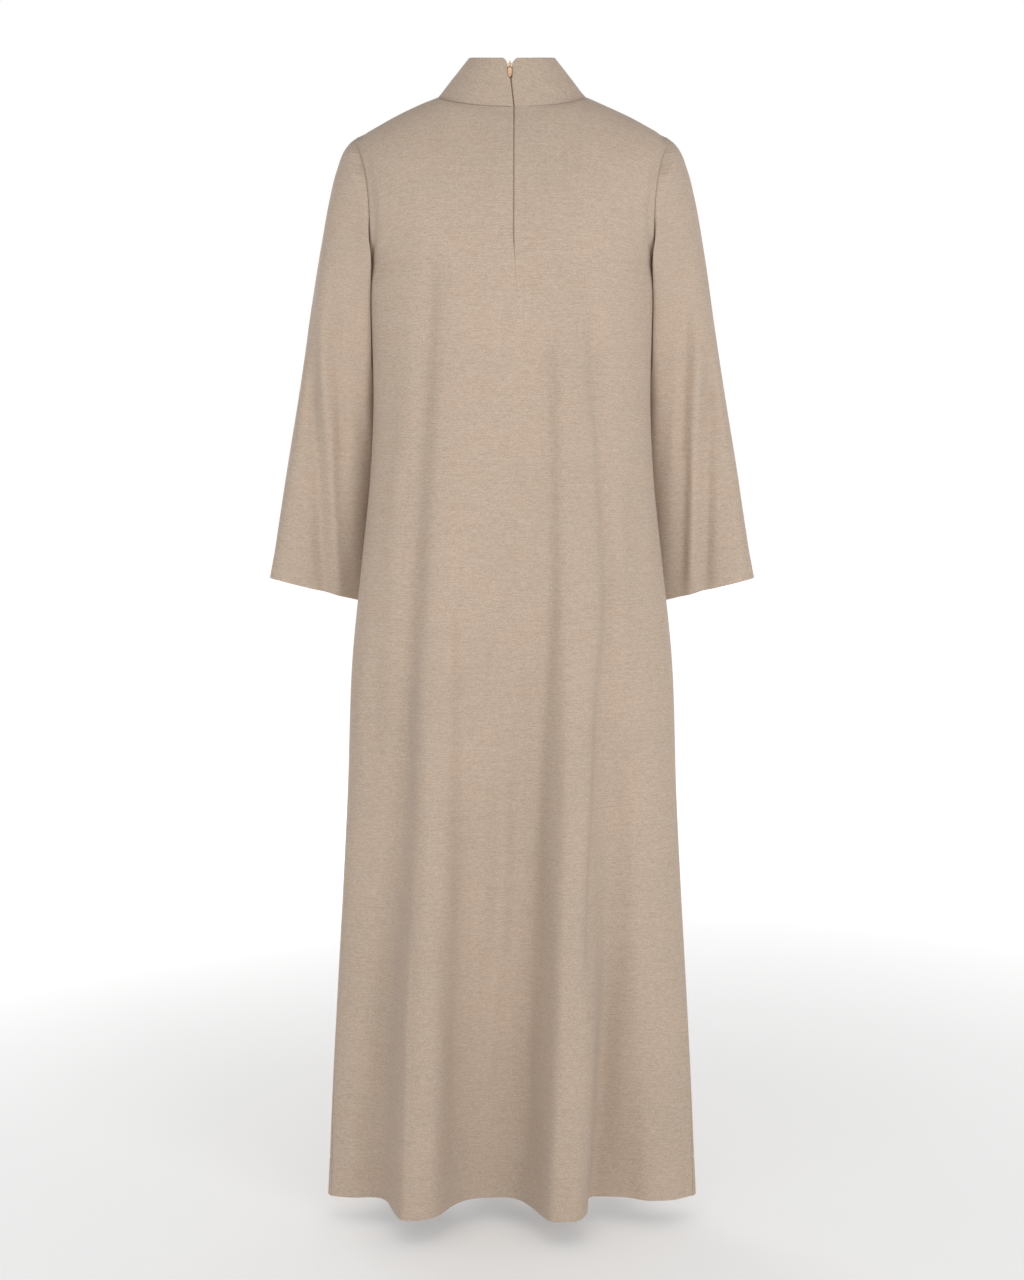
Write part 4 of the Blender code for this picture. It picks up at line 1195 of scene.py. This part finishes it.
def make_sleeve(side):
    """Sleeve as a tube of cloth with its cuff turned up inside."""
    flat, angle = sleeve_grid(side)
    facing = closed_normals(flat)
    middle = flat.mean(axis=1, keepdims=True)
    outward = 1.0 if float(np.sum(facing * (flat - middle))) > 0.0 else -1.0
    height, down, around = sleeve_heights(flat, angle, side)
    grid = clear_of_body(flat + height[..., None] * facing * outward, side)
    grid[:, -1] = grid[:, 0]
    facing = closed_normals(grid) * outward
    left = down[-1].mean() - down.mean(axis=1)
    source = np.nonzero(left <= CUFF_DEPTH)[0][::-1]
    cuff = turned_up(grid, facing, source)
    way = flat[-1].mean(axis=0) - flat[0].mean(axis=0)
    long = (flat - flat[0].mean(axis=0)) @ (way / length_of(way))
    weave = np.stack([around, -long], axis=-1)
    turned = np.arange(len(TURN_ANGLES))[:, None]
    inside = np.concatenate([long[-1] + turned, 2.0 * long[-1] + turned[-1] - long[source]])
    cuff_weave = np.stack([np.tile(around[-1], (len(cuff), 1)), -inside], axis=-1)
    seam = seam_allowance(grid, facing, flat, np.ones(grid.shape[1]))
    seam_weave = weave[:1] + np.array([[[0.0, SEAM_ALLOWANCE + SEAM_UNDER]], [[0.0, SEAM_UNDER]]])
    points = np.concatenate([seam, grid, cuff])
    sheet = Sheet()
    sheet.join(sheet.add_rows(points, np.concatenate([seam_weave, weave, cuff_weave])), outward > 0.0)
    name = "sleeve_cloth_left" if side > 0.0 else "sleeve_cloth_right"
    return cloth_object(name, sheet, cloth, welds=SLEEVE_WELD)


sleeve_left = make_sleeve(1.0)
sleeve_right = make_sleeve(-1.0)

# %% [markdown]
# ## Collar
#
# The collar is a band that rises and narrows like a funnel. It is cut on the bias, so its weave
# runs slantwise, and it is double: the same band runs up outside, folds over at the top and comes
# down inside. At the back its two ends meet at the zip, with their top corners rounded off.

# %% Collar sections
COLLAR_TOP_HALF = 53.5
COLLAR_TOP_BACK = 45.0
COLLAR_TOP_FRONT = 54.0
COLLAR_SIDE_HEIGHT = 48.0
COLLAR_BACK_HEIGHT = 41.5
COLLAR_FRONT_HEIGHT = 36.0
COLLAR_CORNER_DROP = 0.12
COLLAR_CORNER_WIDE = 9.0
COLLAR_CORNER_ROUND = 1.35
COLLAR_GRID_COLUMNS = 190
COLLAR_GRID_ROWS = 27
COLLAR_TALL = 66.0
COLLAR_THICK = 0.9
BIAS = math.radians(24.0)


def collar_points(turn, rise):
    """Points of the collar: turn is 0 at the centre back and half a turn at the centre front."""
    behind = np.cos(turn) >= 0.0
    side = np.where(behind, 1.0, -1.0)
    depth = np.where(behind, FACE["back"]["neck_depth"], FACE["front"]["neck_depth"])
    drop = np.where(behind, FACE["back"]["neck_drop"], FACE["front"]["neck_drop"])
    top_depth = np.where(behind, COLLAR_TOP_BACK, COLLAR_TOP_FRONT)
    top_height = np.where(behind, COLLAR_BACK_HEIGHT, COLLAR_FRONT_HEIGHT)
    along = np.abs(np.cos(turn)) ** NECKLINE_ROUND
    across = np.sin(turn)
    back = side * np.abs(np.cos(turn))
    top_z = COLLAR_SIDE_HEIGHT + (top_height - COLLAR_SIDE_HEIGHT) * along
    bottom = np.stack([NECK_HALF * across, depth * back, SEAM_GAP - drop * along], axis=-1)
    top = np.stack([COLLAR_TOP_HALF * across, top_depth * back, top_z], axis=-1)
    return bottom + (top - bottom) * np.asarray(rise)[..., None]


COLLAR_CREASES = [
    (-30, 34, -62, 18, 0.9, 6, 6, 14),
    (-34, 22, -60, 6, -1, 6, 6, 14),
    (36, 30, 60, 14, 0.6, 7, 7, 14),
    (20, 12, 52, 8, -0.5, 6, 6, 12),
]
COLLAR_SEED = 53
COLLAR_UNEVEN = 0.22
COLLAR_CALM = 10.0
COLLAR_SEAM_FROM = 14.0
FAINT_SEAM = 0.1


def collar_grid():
    """Rows of the collar from its seam up to its top edge."""
    turns = np.linspace(0.0, 2.0 * math.pi, 3 * DENSE)
    distance = walked(collar_points(turns, np.full_like(turns, 0.5)))
    columns = np.interp(stations(distance[-1], COLLAR_GRID_COLUMNS, True, True), distance, turns)
    rows = []
    for rise in stations(COLLAR_TALL, COLLAR_GRID_ROWS, True, False) / COLLAR_TALL:
        behind = np.cos(columns) > 0.0
        middle = COLLAR_TOP_HALF * np.abs(np.sin(columns))
        corner = behind * np.clip(1.0 - middle / COLLAR_CORNER_WIDE, 0.0, 1.0) ** COLLAR_CORNER_ROUND
        points = collar_points(columns, rise * (1.0 - COLLAR_CORNER_DROP * corner))
        near = np.where(behind, near_slit(np.sin(columns) * NECK_SHARE), 0.0)
        points[:, 0] += straight(SLIT, "x", -points[:, 2]) * near
        way = np.where(columns < math.pi, 1.0, -1.0)
        spread = np.maximum(0.0, 1.0 - to_ends(walked(points)) / SLIT_NEAR) ** 2
        points[:, 0] += way * straight(SLIT, "half_gap", -points[:, 2]) * spread
        rows.append(points)
    return np.array(rows)


def make_collar():
    """Collar: one band, outside and inside, folded at its top edge."""
    flat = collar_grid()
    normals = -normals_of(flat)
    sums = walked(flat, 1)
    edge = to_ends(sums)
    up = walked(flat)
    across = np.where(sums < 0.5 * sums[:, -1:], sums, sums - sums[:, -1:])
    calm = eased(edge / COLLAR_CALM) * eased(up / COLLAR_CALM) * eased((up[-1:] - up) / COLLAR_CALM)
    height = crease_heights(COLLAR_CREASES, across, up)
    height += unevenness(across, up, COLLAR_SEED, COLLAR_UNEVEN, UNEVEN_NARROW, UNEVEN_NARROW)
    height *= calm
    seam = np.where(across > 0.0, 1.0, FAINT_SEAM)
    height += np.minimum(seam * rolled(up, ROLL), rolled(edge, ROLL))
    grid = flat + height[..., None] * normals
    facing = -normals_of(grid)
    inside = turned_up(grid, facing, range(len(grid) - 1, -1, -1))
    top = [-1] * len(TURN_ANGLES)
    along = np.concatenate([up, up[top], 2.0 * up[-1] - up[::-1]])
    around = np.concatenate([across, across[top], across[::-1]])
    weave = np.stack([around * math.cos(BIAS) + along * math.sin(BIAS),
                      along * math.cos(BIAS) - around * math.sin(BIAS)], axis=-1)
    seam = seam_allowance(grid, facing, flat, eased((edge[0] - COLLAR_SEAM_FROM) / COLLAR_CALM))
    weave = np.concatenate([weave[:1] + np.array([[[0.0, -SEAM_ALLOWANCE]], [[0.0, -SEAM_UNDER]]]), weave])
    sheet = Sheet()
    sheet.join(sheet.add_rows(np.concatenate([seam, grid, inside]), weave), False)
    return cloth_object("collar_cloth", sheet, cloth, COLLAR_THICK)


collar = make_collar()
COLLAR_FOOT, COLLAR_HEAD = collar_points(np.array([0.0, 0.0]), np.array([0.0, 1.0]))

# %% [markdown]
# ## The invisible zip
#
# An invisible zip is sewn behind the edges of the cloth, so from outside only a thin line shows,
# with the slider and its pull tab at the top. Behind the line lie a woven tape and a row of small
# nylon teeth. One tooth is modelled and copied all the way down.

# %% Tape behind the opening
TAPE_HALF = 12.0
TAPE_BEHIND = 2.7
TAPE_THICK = 0.6
TAPE_TOP = 32.5
TAPE_END = -192.0
TAPE_ROWS = 120
TAPE_COLUMNS = 25
TAPE_RIB = 0.12


def centre_back(height, offset):
    """Depth of the outer face beside the opening, at heights above the origin."""
    x = straight(SLIT, "x", -height) + offset
    rise = (height - COLLAR_FOOT[2]) / (COLLAR_HEAD[2] - COLLAR_FOOT[2])
    half = NECK_HALF + (COLLAR_TOP_HALF - NECK_HALF) * np.clip(rise, 0.0, 1.0)
    on_collar = collar_points(np.arcsin(x / half), rise)[..., 1]
    risen = np.clip((height + UNDERARM_DROP) / (UNDERARM_DROP - FACE["back"]["neck_drop"]), 0.0, 1.0)
    edge_drop = UNDERARM_DROP - (UNDERARM_DROP - SHOULDER_DROP) * risen
    share = x / smooth(ARMHOLE, "half_width", edge_drop)
    on_back = yoke_points("back", share, np.arccos(1.0 - 2.0 * risen) / math.pi)[..., 1]
    return np.where(height > COLLAR_FOOT[2], on_collar, on_back)


def behind_opening(height, offset, depth):
    """Points behind the opening, at a depth below the cloth's outer face."""
    step = 1.0
    height, offset = np.broadcast_arrays(np.asarray(height, dtype=float), np.asarray(offset, dtype=float))
    y = centre_back(height, offset)
    points = np.stack([straight(SLIT, "x", -height) + offset, y, height], axis=-1)
    slope_up = centre_back(height + step, offset) - centre_back(height - step, offset)
    slope_across = centre_back(height, offset + step) - centre_back(height, offset - step)
    normal = np.stack([-slope_across, np.full_like(y, 2.0 * step), -slope_up], axis=-1)
    normal = normal / length_of(normal)[..., None]
    return points - depth * normal, normal


def make_tape():
    """Woven tape with fine ribs along its length."""
    heights = np.linspace(TAPE_TOP, TAPE_END, TAPE_ROWS)[:, None]
    offsets = np.linspace(-TAPE_HALF, TAPE_HALF, TAPE_COLUMNS)[None, :]
    points, normal = behind_opening(heights, offsets, TAPE_BEHIND)
    ribs = TAPE_RIB * (np.arange(TAPE_COLUMNS) % 2)
    points = points - ribs[None, :, None] * normal
    weave = np.stack(np.broadcast_arrays(offsets, heights), axis=-1)
    sheet = Sheet()
    sheet.join(sheet.add_rows(points, weave), True)
    return cloth_object("zip_tape_woven", sheet, zip_cloth, TAPE_THICK)


TAPE_BROWN = (0.120, 0.082, 0.056, 1.0)
TAPE_LIGHT = (0.205, 0.145, 0.100, 1.0)
TAPE_THREAD = 0.0009


def tape_cloth():
    """Brown woven zip tape with a herringbone in it."""
    finish = Finish("zip_tape_weave")
    along, up = finish.weave()
    turn = 2.0 * math.pi / TAPE_THREAD
    slant = finish.node("ShaderNodeMath", {"operation": "PINGPONG"}, {0: along, 1: 2.0 * TAPE_THREAD})
    bone = finish.wave((up + slant) * turn)
    colour = finish.mix(finish.limited(bone, -0.6, 0.8), TAPE_BROWN, TAPE_LIGHT)
    finish.feed(Base_Color=colour, Normal=finish.bump(bone, 0.6, 0.0002))
    finish.plain(Roughness=0.82, Sheen_Weight=0.1)
    return finish.material


zip_cloth = tape_cloth()
tape = make_tape()

# %% Teeth
TOOTH_PITCH = 1.3
TOOTH_SIZE = (2.4, 0.9, 0.75)
TOOTH_DEPTH = 2.15
TOOTH_OFFSET = 0.5
TEETH_TOP = 27.0
TEETH_END = -180.0
TOOTH_ROUND = 0.25
ACROSS = np.array([1.0, 0.0, 0.0])


def smooth_by_angle(made, degrees=35.0):
    """Shade an object smooth apart from its sharp edges."""
    made.data.shade_smooth()
    made.data.set_sharp_from_angle(angle=math.radians(degrees))
    return made


def bevelled(made, width, segments=2):
    """Round an object's edges."""
    bevel = made.modifiers.new("round", "BEVEL")
    bevel.width = width * MM
    bevel.segments = segments
    bevel.limit_method = "ANGLE"
    return applied(made, bevel)


def sized(name, scale):
    """Name the object that was just added and put its place, turn and scale into its mesh."""
    made = alone(bpy.context.object)
    made.name = name
    made.data.name = name
    made.scale = scale
    bpy.ops.object.transform_apply(location=True, rotation=True, scale=True)
    return made


def block(name, size, place=(0.0, 0.0, 0.0)):
    """Box of a size in millimetres, with its size in its mesh."""
    bpy.ops.mesh.primitive_cube_add(size=1.0, location=[value * MM for value in place])
    return sized(name, [value * MM for value in size])


def make_teeth(surface):
    """Rows of rounded nylon teeth, left and right in turn, as one mesh."""
    tooth = bevelled(block("zip_teeth", TOOTH_SIZE), TOOTH_ROUND)
    corners = np.array([vertex.co[:] for vertex in tooth.data.vertices]) / MM
    faces = [list(polygon.vertices) for polygon in tooth.data.polygons]
    heights = np.arange(TEETH_TOP, TEETH_END, -0.5 * TOOTH_PITCH)
    offsets = np.where(np.arange(len(heights)) % 2 == 0, TOOTH_OFFSET, -TOOTH_OFFSET)
    places, normals = behind_opening(heights, offsets, TOOTH_DEPTH)
    points = []
    joined = []
    for number, (place, out) in enumerate(zip(places, normals)):
        up = np.cross(ACROSS, out)
        start = number * len(corners)
        points.append(place + corners[:, :1] * ACROSS + corners[:, 1:2] * out + corners[:, 2:] * up)
        joined += [[start + corner for corner in face] for face in faces]
    bpy.data.objects.remove(tooth, do_unlink=True)
    mesh = bpy.data.meshes.new("zip_teeth")
    mesh.from_pydata((np.concatenate(points) * MM).tolist(), [], joined)
    mesh.materials.append(surface)
    print("teeth:", len(heights), "faces:", len(joined))
    return smooth_by_angle(added("zip_teeth", mesh))


NYLON = (0.235, 0.150, 0.092, 1.0)
NYLON_LIGHT = (0.330, 0.215, 0.135, 1.0)
NYLON_GRAIN = 0.0012


def nylon():
    """Brown nylon, a little lighter where it is worn."""
    finish = Finish("zip_nylon")
    grain = finish.noise(finish.grains(NYLON_GRAIN))
    finish.feed(Base_Color=finish.mix(grain, NYLON, NYLON_LIGHT), Roughness=grain * 0.2 + 0.35)
    return finish.material


teeth = make_teeth(nylon())

# %% [markdown]
# ## Slider and pull tab
#
# The slider is a small die cast body with a bridge, and the tab hangs on the bridge by a hole.
# Both are modelled lying at the origin, with X across, Y outwards and Z up, and are then placed
# where the solids of the slider and the tab are.

# %% Where the slider sits
SLIDER_HEIGHT = 32.0
SLIDER_PROUD = 0.2
WINDOW_HEIGHT = 2.0


def slider_place():
    """Middle of the hinge, and the directions out of the collar and up along it."""
    way = COLLAR_HEAD - COLLAR_FOOT
    up = way / np.linalg.norm(way)
    out = np.array([0.0, up[2], -up[1]])
    face = COLLAR_FOOT + way * (SLIDER_HEIGHT - COLLAR_FOOT[2]) / way[2]
    face[0] = straight(SLIT, "x", -SLIDER_HEIGHT)
    return face + out * (SLIDER_PROUD + 0.5 * WINDOW_HEIGHT), out, up


HINGE, HINGE_OUT, HINGE_UP = slider_place()


def set_in_place(made):
    """Give an object its brass and move its points from its own directions to the slider's place."""
    corners = np.array([vertex.co[:] for vertex in made.data.vertices])
    moved = HINGE * MM + corners[:, :1] * ACROSS + corners[:, 1:2] * HINGE_OUT + corners[:, 2:] * HINGE_UP
    made.data.vertices.foreach_set("co", moved.ravel())
    made.data.update()
    made.data.materials.clear()
    made.data.materials.append(brass)
    return smooth_by_angle(made)


print("hinge of the pull tab:", HINGE.round(3), "out", HINGE_OUT.round(3))

# %% Brass
BRASS = (0.780, 0.520, 0.340, 1.0)
BRASS_DULL = (0.560, 0.365, 0.230, 1.0)
BRASS_GRAIN = 0.0016
BRASS_SCRATCH = (9.0, 9.0, 0.7)


def brass_finish():
    """Warm pale brass with dull patches and fine scratches."""
    finish = Finish("zip_brass")
    place = finish.grains(BRASS_GRAIN)
    patches = finish.limited(finish.noise(place, 4.0), 0.35, 0.7)
    long = finish.node("ShaderNodeVectorMath", {"operation": "MULTIPLY"}, {0: place, 1: BRASS_SCRATCH})
    scratch = finish.noise(long)
    rough = patches * 0.2 + scratch * 0.15 + 0.22
    bump = finish.bump(scratch, 0.25, 0.00005)
    finish.feed(Base_Color=finish.mix(patches, BRASS, BRASS_DULL), Roughness=rough, Normal=bump)
    finish.plain(Metallic=0.85)
    return finish.material


brass = brass_finish()

# %% Slider
SLIDER_SIZE = (4.4, 2.0, 8.0)
SLIDER_TAIL = 0.72
NOSE_WIDE = 1.8
NOSE_LONG = 3.0
BRIDGE_WIDE = 1.4
BRIDGE_THICK = 0.9
BRIDGE_HALF = 2.05
BRIDGE_FOOT = 0.2
BRIDGE_START = 0.02
BRIDGE_ROUND = 0.18
BODY_ROUND = 0.3
NOSE_STEP = 0.15
NOSE_THICK = 0.8
FACING = 0.9
BRIDGE_STEPS = 14


def select_faces(made, chosen):
    """Enter edit mode with only the chosen faces selected."""
    alone(made)
    bpy.ops.object.mode_set(mode="EDIT")
    bpy.ops.mesh.select_mode(type="FACE")
    bpy.ops.mesh.select_all(action="DESELECT")
    bpy.ops.object.mode_set(mode="OBJECT")
    for polygon in made.data.polygons:
        polygon.select = bool(chosen(polygon))
    bpy.ops.object.mode_set(mode="EDIT")


def make_slider():
    """Slider: a tapered body, a nose between the teeth and a bridge made by a spin."""
    low = -0.5 * WINDOW_HEIGHT
    body = block("zip_slider_brass", SLIDER_SIZE, (0.0, low - 0.5 * SLIDER_SIZE[1], 0.0))
    select_faces(body, lambda polygon: polygon.normal.z < -FACING)
    bpy.ops.transform.resize(value=(SLIDER_TAIL, 1.0, 1.0))
    bpy.ops.object.mode_set(mode="OBJECT")
    select_faces(body, lambda polygon: polygon.normal.z > FACING)
    bpy.ops.mesh.inset(thickness=NOSE_STEP * MM)
    bpy.ops.transform.resize(value=(NOSE_WIDE / SLIDER_SIZE[0], NOSE_THICK, 1.0))
    bpy.ops.mesh.extrude_region_move(TRANSFORM_OT_translate={"value": (0.0, 0.0, NOSE_LONG * MM)})
    bpy.ops.object.mode_set(mode="OBJECT")
    bevelled(body, BODY_ROUND, 3)
    foot = low - BRIDGE_FOOT
    bridge = block("bridge", (BRIDGE_WIDE, BRIDGE_START, BRIDGE_THICK), (0.0, foot, -BRIDGE_HALF))
    select_faces(bridge, lambda polygon: polygon.normal.y > FACING)
    bpy.ops.mesh.spin(steps=BRIDGE_STEPS, angle=math.pi, center=(0.0, foot * MM, 0.0), axis=(1.0, 0.0, 0.0))
    bpy.ops.object.mode_set(mode="OBJECT")
    print("bridge", [round(value / MM, 2) for value in bridge.dimensions])
    select_faces(bridge, lambda polygon: True)
    bpy.ops.mesh.normals_make_consistent(inside=False)
    bpy.ops.object.mode_set(mode="OBJECT")
    bevelled(bridge, BRIDGE_ROUND)
    alone(body)
    bridge.select_set(True)
    bpy.ops.object.join()
    return set_in_place(body)


slider = make_slider()

# %% Pull tab
PULL_THICK = 0.9
PULL_LONG = 15.0
PULL_HALF_TOP = 1.9
PULL_HALF_WIDE = 2.7
PULL_HOLE_HALF = 1.2
PULL_HOLE_LONG = 3.6
PULL_SIDES = 40
PULL_RIM = 0.55
PULL_SUNK = 0.22
PULL_STEP = 0.12
PULL_ROUND = 0.12
HOLE_SIDES = 24


def rod(name, sides, half_wide, thick, high, low):
    """Cylinder along Y, squashed to a width and stretched between two heights."""
    middle = (0.0, 0.0, 0.5 * (high + low) * MM)
    bpy.ops.mesh.primitive_cylinder_add(vertices=sides, radius=0.5 * (high - low) * MM, depth=thick * MM,
                                        location=middle, rotation=(math.pi / 2, 0.0, 0.0))
    return sized(name, (2.0 * half_wide / (high - low), 1.0, 1.0))


def make_pull():
    """Pull tab: a drop, wider at its low end, with a sunk face inside a rim and a hole for the bridge."""
    top = 0.5 * PULL_THICK
    low = top - PULL_LONG
    tab = rod("zip_pull_brass", PULL_SIDES, PULL_HALF_WIDE, PULL_THICK, top, low)
    middle = 0.5 * (top + low) * MM
    for vertex in tab.data.vertices:
        rise = max(0.0, (vertex.co.z - middle) / (top * MM - middle))
        vertex.co.x *= 1.0 - (1.0 - PULL_HALF_TOP / PULL_HALF_WIDE) * rise
    select_faces(tab, lambda polygon: abs(polygon.normal.y) > FACING)
    bpy.ops.mesh.inset(thickness=PULL_RIM * MM, use_individual=True)
    bpy.ops.mesh.inset(thickness=PULL_STEP * MM, depth=-PULL_SUNK * MM, use_individual=True)
    bpy.ops.object.mode_set(mode="OBJECT")
    hole = rod("hole", HOLE_SIDES, PULL_HOLE_HALF, 4.0 * PULL_THICK, -top, -top - PULL_HOLE_LONG)
    cut = tab.modifiers.new("hole", "BOOLEAN")
    cut.operation = "DIFFERENCE"
    cut.solver = "FAST"
    cut.object = hole
    applied(tab, cut)
    bpy.data.objects.remove(hole, do_unlink=True)
    bevelled(tab, PULL_ROUND)
    return set_in_place(tab)


pull = make_pull()

# %% [markdown]
# ## Camera, light and floor
#
# The camera stands behind the dress at chest height and looks slightly down, as the picture was
# taken. Studio light for clothes is broad and soft: white backdrops, a pale room, and a large panel
# a little to one side of the camera with a weaker one on the other. Folds then show by the way their
# flanks turn aside. The same two stand on the dress's other side, and a faint one hangs above. The
# hem hangs just clear of a pale floor. The floor shines a little, more so further out, so that it
# runs into the white backdrop without a line.

# %% Camera
CAMERA_PLACE = (0.0, 2.70, -0.371)
CAMERA_TARGET = (0.0, 0.0, -0.675)
CAMERA_LENS = 60.0
SENSOR = 36.0


def aimed(name, data, place, target):
    """New camera or light at a place, turned towards a target."""
    made = added(name, data)
    made.location = place
    made.rotation_euler = (Vector(target) - Vector(place)).to_track_quat("-Z", "Y").to_euler()
    return made


camera_data = bpy.data.cameras.new("camera")
camera_data.lens = CAMERA_LENS
camera_data.sensor_width = SENSOR
camera = aimed("camera", camera_data, CAMERA_PLACE, CAMERA_TARGET)
bpy.context.scene.camera = camera
bpy.context.scene.view_settings.view_transform = "Standard"
print("camera looks down by", round(math.degrees(math.pi / 2 - camera.rotation_euler.x), 1), "degrees")

# %% Lights
ROOM_LIGHT = (0.52, 0.52, 0.52, 1.0)
BACKDROP_LIGHT = (1.0, 1.0, 1.0, 1.0)
BACKDROP_FROM = 0.74
BACKDROP_TO = 0.88
PANEL_SIZE = 1.6
PANEL_TARGET = (0.0, 0.0, -0.85)
PANELS = [
    ("key", (-1.9, 2.9, -0.56), 36.0),
    ("fill", (2.2, 2.5, -1.27), 23.6),
]
TOP_PLACE = (0.0, 1.5, 1.7)
TOP_TARGET = (0.0, 0.0, -0.1)
TOP_POWER = 5.0


def soft_panel(name, place, target, power):
    """Square area light that faces a target."""
    data = bpy.data.lights.new(name, "AREA")
    data.energy = power
    data.size = PANEL_SIZE
    return aimed(name, data, place, target)


def white_backdrops(name):
    """World that is white in front of and behind the dress, and pale grey to its sides and above."""
    world = bpy.data.worlds.new(name)
    world.use_nodes = True
    nodes = Nodes(world.node_tree)
    way = nodes.node("ShaderNodeTexCoord", {}, {})
    depth = nodes.node("ShaderNodeSeparateXYZ", {}, {"Vector": way}, output=1)
    reach = nodes.node("ShaderNodeMath", {"operation": "ABSOLUTE"}, {0: depth})
    colour = nodes.mix(nodes.limited(reach, BACKDROP_FROM, BACKDROP_TO), ROOM_LIGHT, BACKDROP_LIGHT)
    nodes.link(colour, nodes.tree.nodes["Background"].inputs["Color"])
    return world


bpy.context.scene.world = white_backdrops("studio")
for way in (-1.0, 1.0):
    for name, (x, y, z), power in PANELS:
        soft_panel(name, (way * x, way * y, z), PANEL_TARGET, power)
soft_panel("top", TOP_PLACE, TOP_TARGET, TOP_POWER)

# %% Floor
FLOOR_CLEAR = 0.035
FLOOR_HALF = 14.0
FLOOR_PALE = (0.82, 0.82, 0.82, 1.0)
FLOOR_MOTTLE = (0.80, 0.80, 0.80, 1.0)
FLOOR_GLOW_FROM = 0.5
FLOOR_GLOW_TO = 3.2
FLOOR_DIM = (0.20, 0.20, 0.20, 1.0)
FLOOR_GLOW = (0.58, 0.58, 0.58, 1.0)

bpy.ops.object.select_all(action="DESELECT")
bpy.ops.mesh.primitive_plane_add(size=2.0 * FLOOR_HALF, location=(0.0, 0.0, -HEM_DROP * MM - FLOOR_CLEAR))
floor = bpy.context.object
floor.name = "floor"
floor_finish = Finish("floor_pale")
floor_place = floor_finish.node("ShaderNodeTexCoord", {}, {}, output=3)
floor_reach = floor_finish.node("ShaderNodeVectorMath", {"operation": "LENGTH"}, {0: floor_place}, output=1)
floor_share = floor_finish.limited(floor_reach, FLOOR_GLOW_FROM, FLOOR_GLOW_TO)
floor_colour = floor_finish.mix(floor_finish.noise(floor_place), FLOOR_PALE, FLOOR_MOTTLE)
floor_light = floor_finish.mix(floor_share, FLOOR_DIM, FLOOR_GLOW)
floor_finish.feed(Base_Color=floor_colour, Emission_Color=floor_light)
floor_finish.plain(Roughness=0.9, Emission_Strength=1.0)
floor.data.materials.append(floor_finish.material)

# %% [markdown]
# ## Tying the pieces to the frame
#
# Every piece rides on a body of the imported dress, and the solid that it stands for is hidden.

# %% Pieces and what they stand for
for piece, body, node, slot in (
        (back, "dress", "back", "fabric"),
        (front, "dress", "front", "fabric"),
        (sleeve_left, "dress", "sleeve_left", "fabric"),
        (sleeve_right, "dress", "sleeve_right", "fabric"),
        (collar, "dress", "collar", "fabric"),
        (tape, "dress", "zip_tape", "zip_tape"),
        (slider, "dress", "zip_slider", "brass"),
        (teeth, "dress", None, "zip_tape"),
        (pull, "zip_pull", "zip_pull", "brass")):
    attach(piece, body)
    if node is not None:
        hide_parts(node)
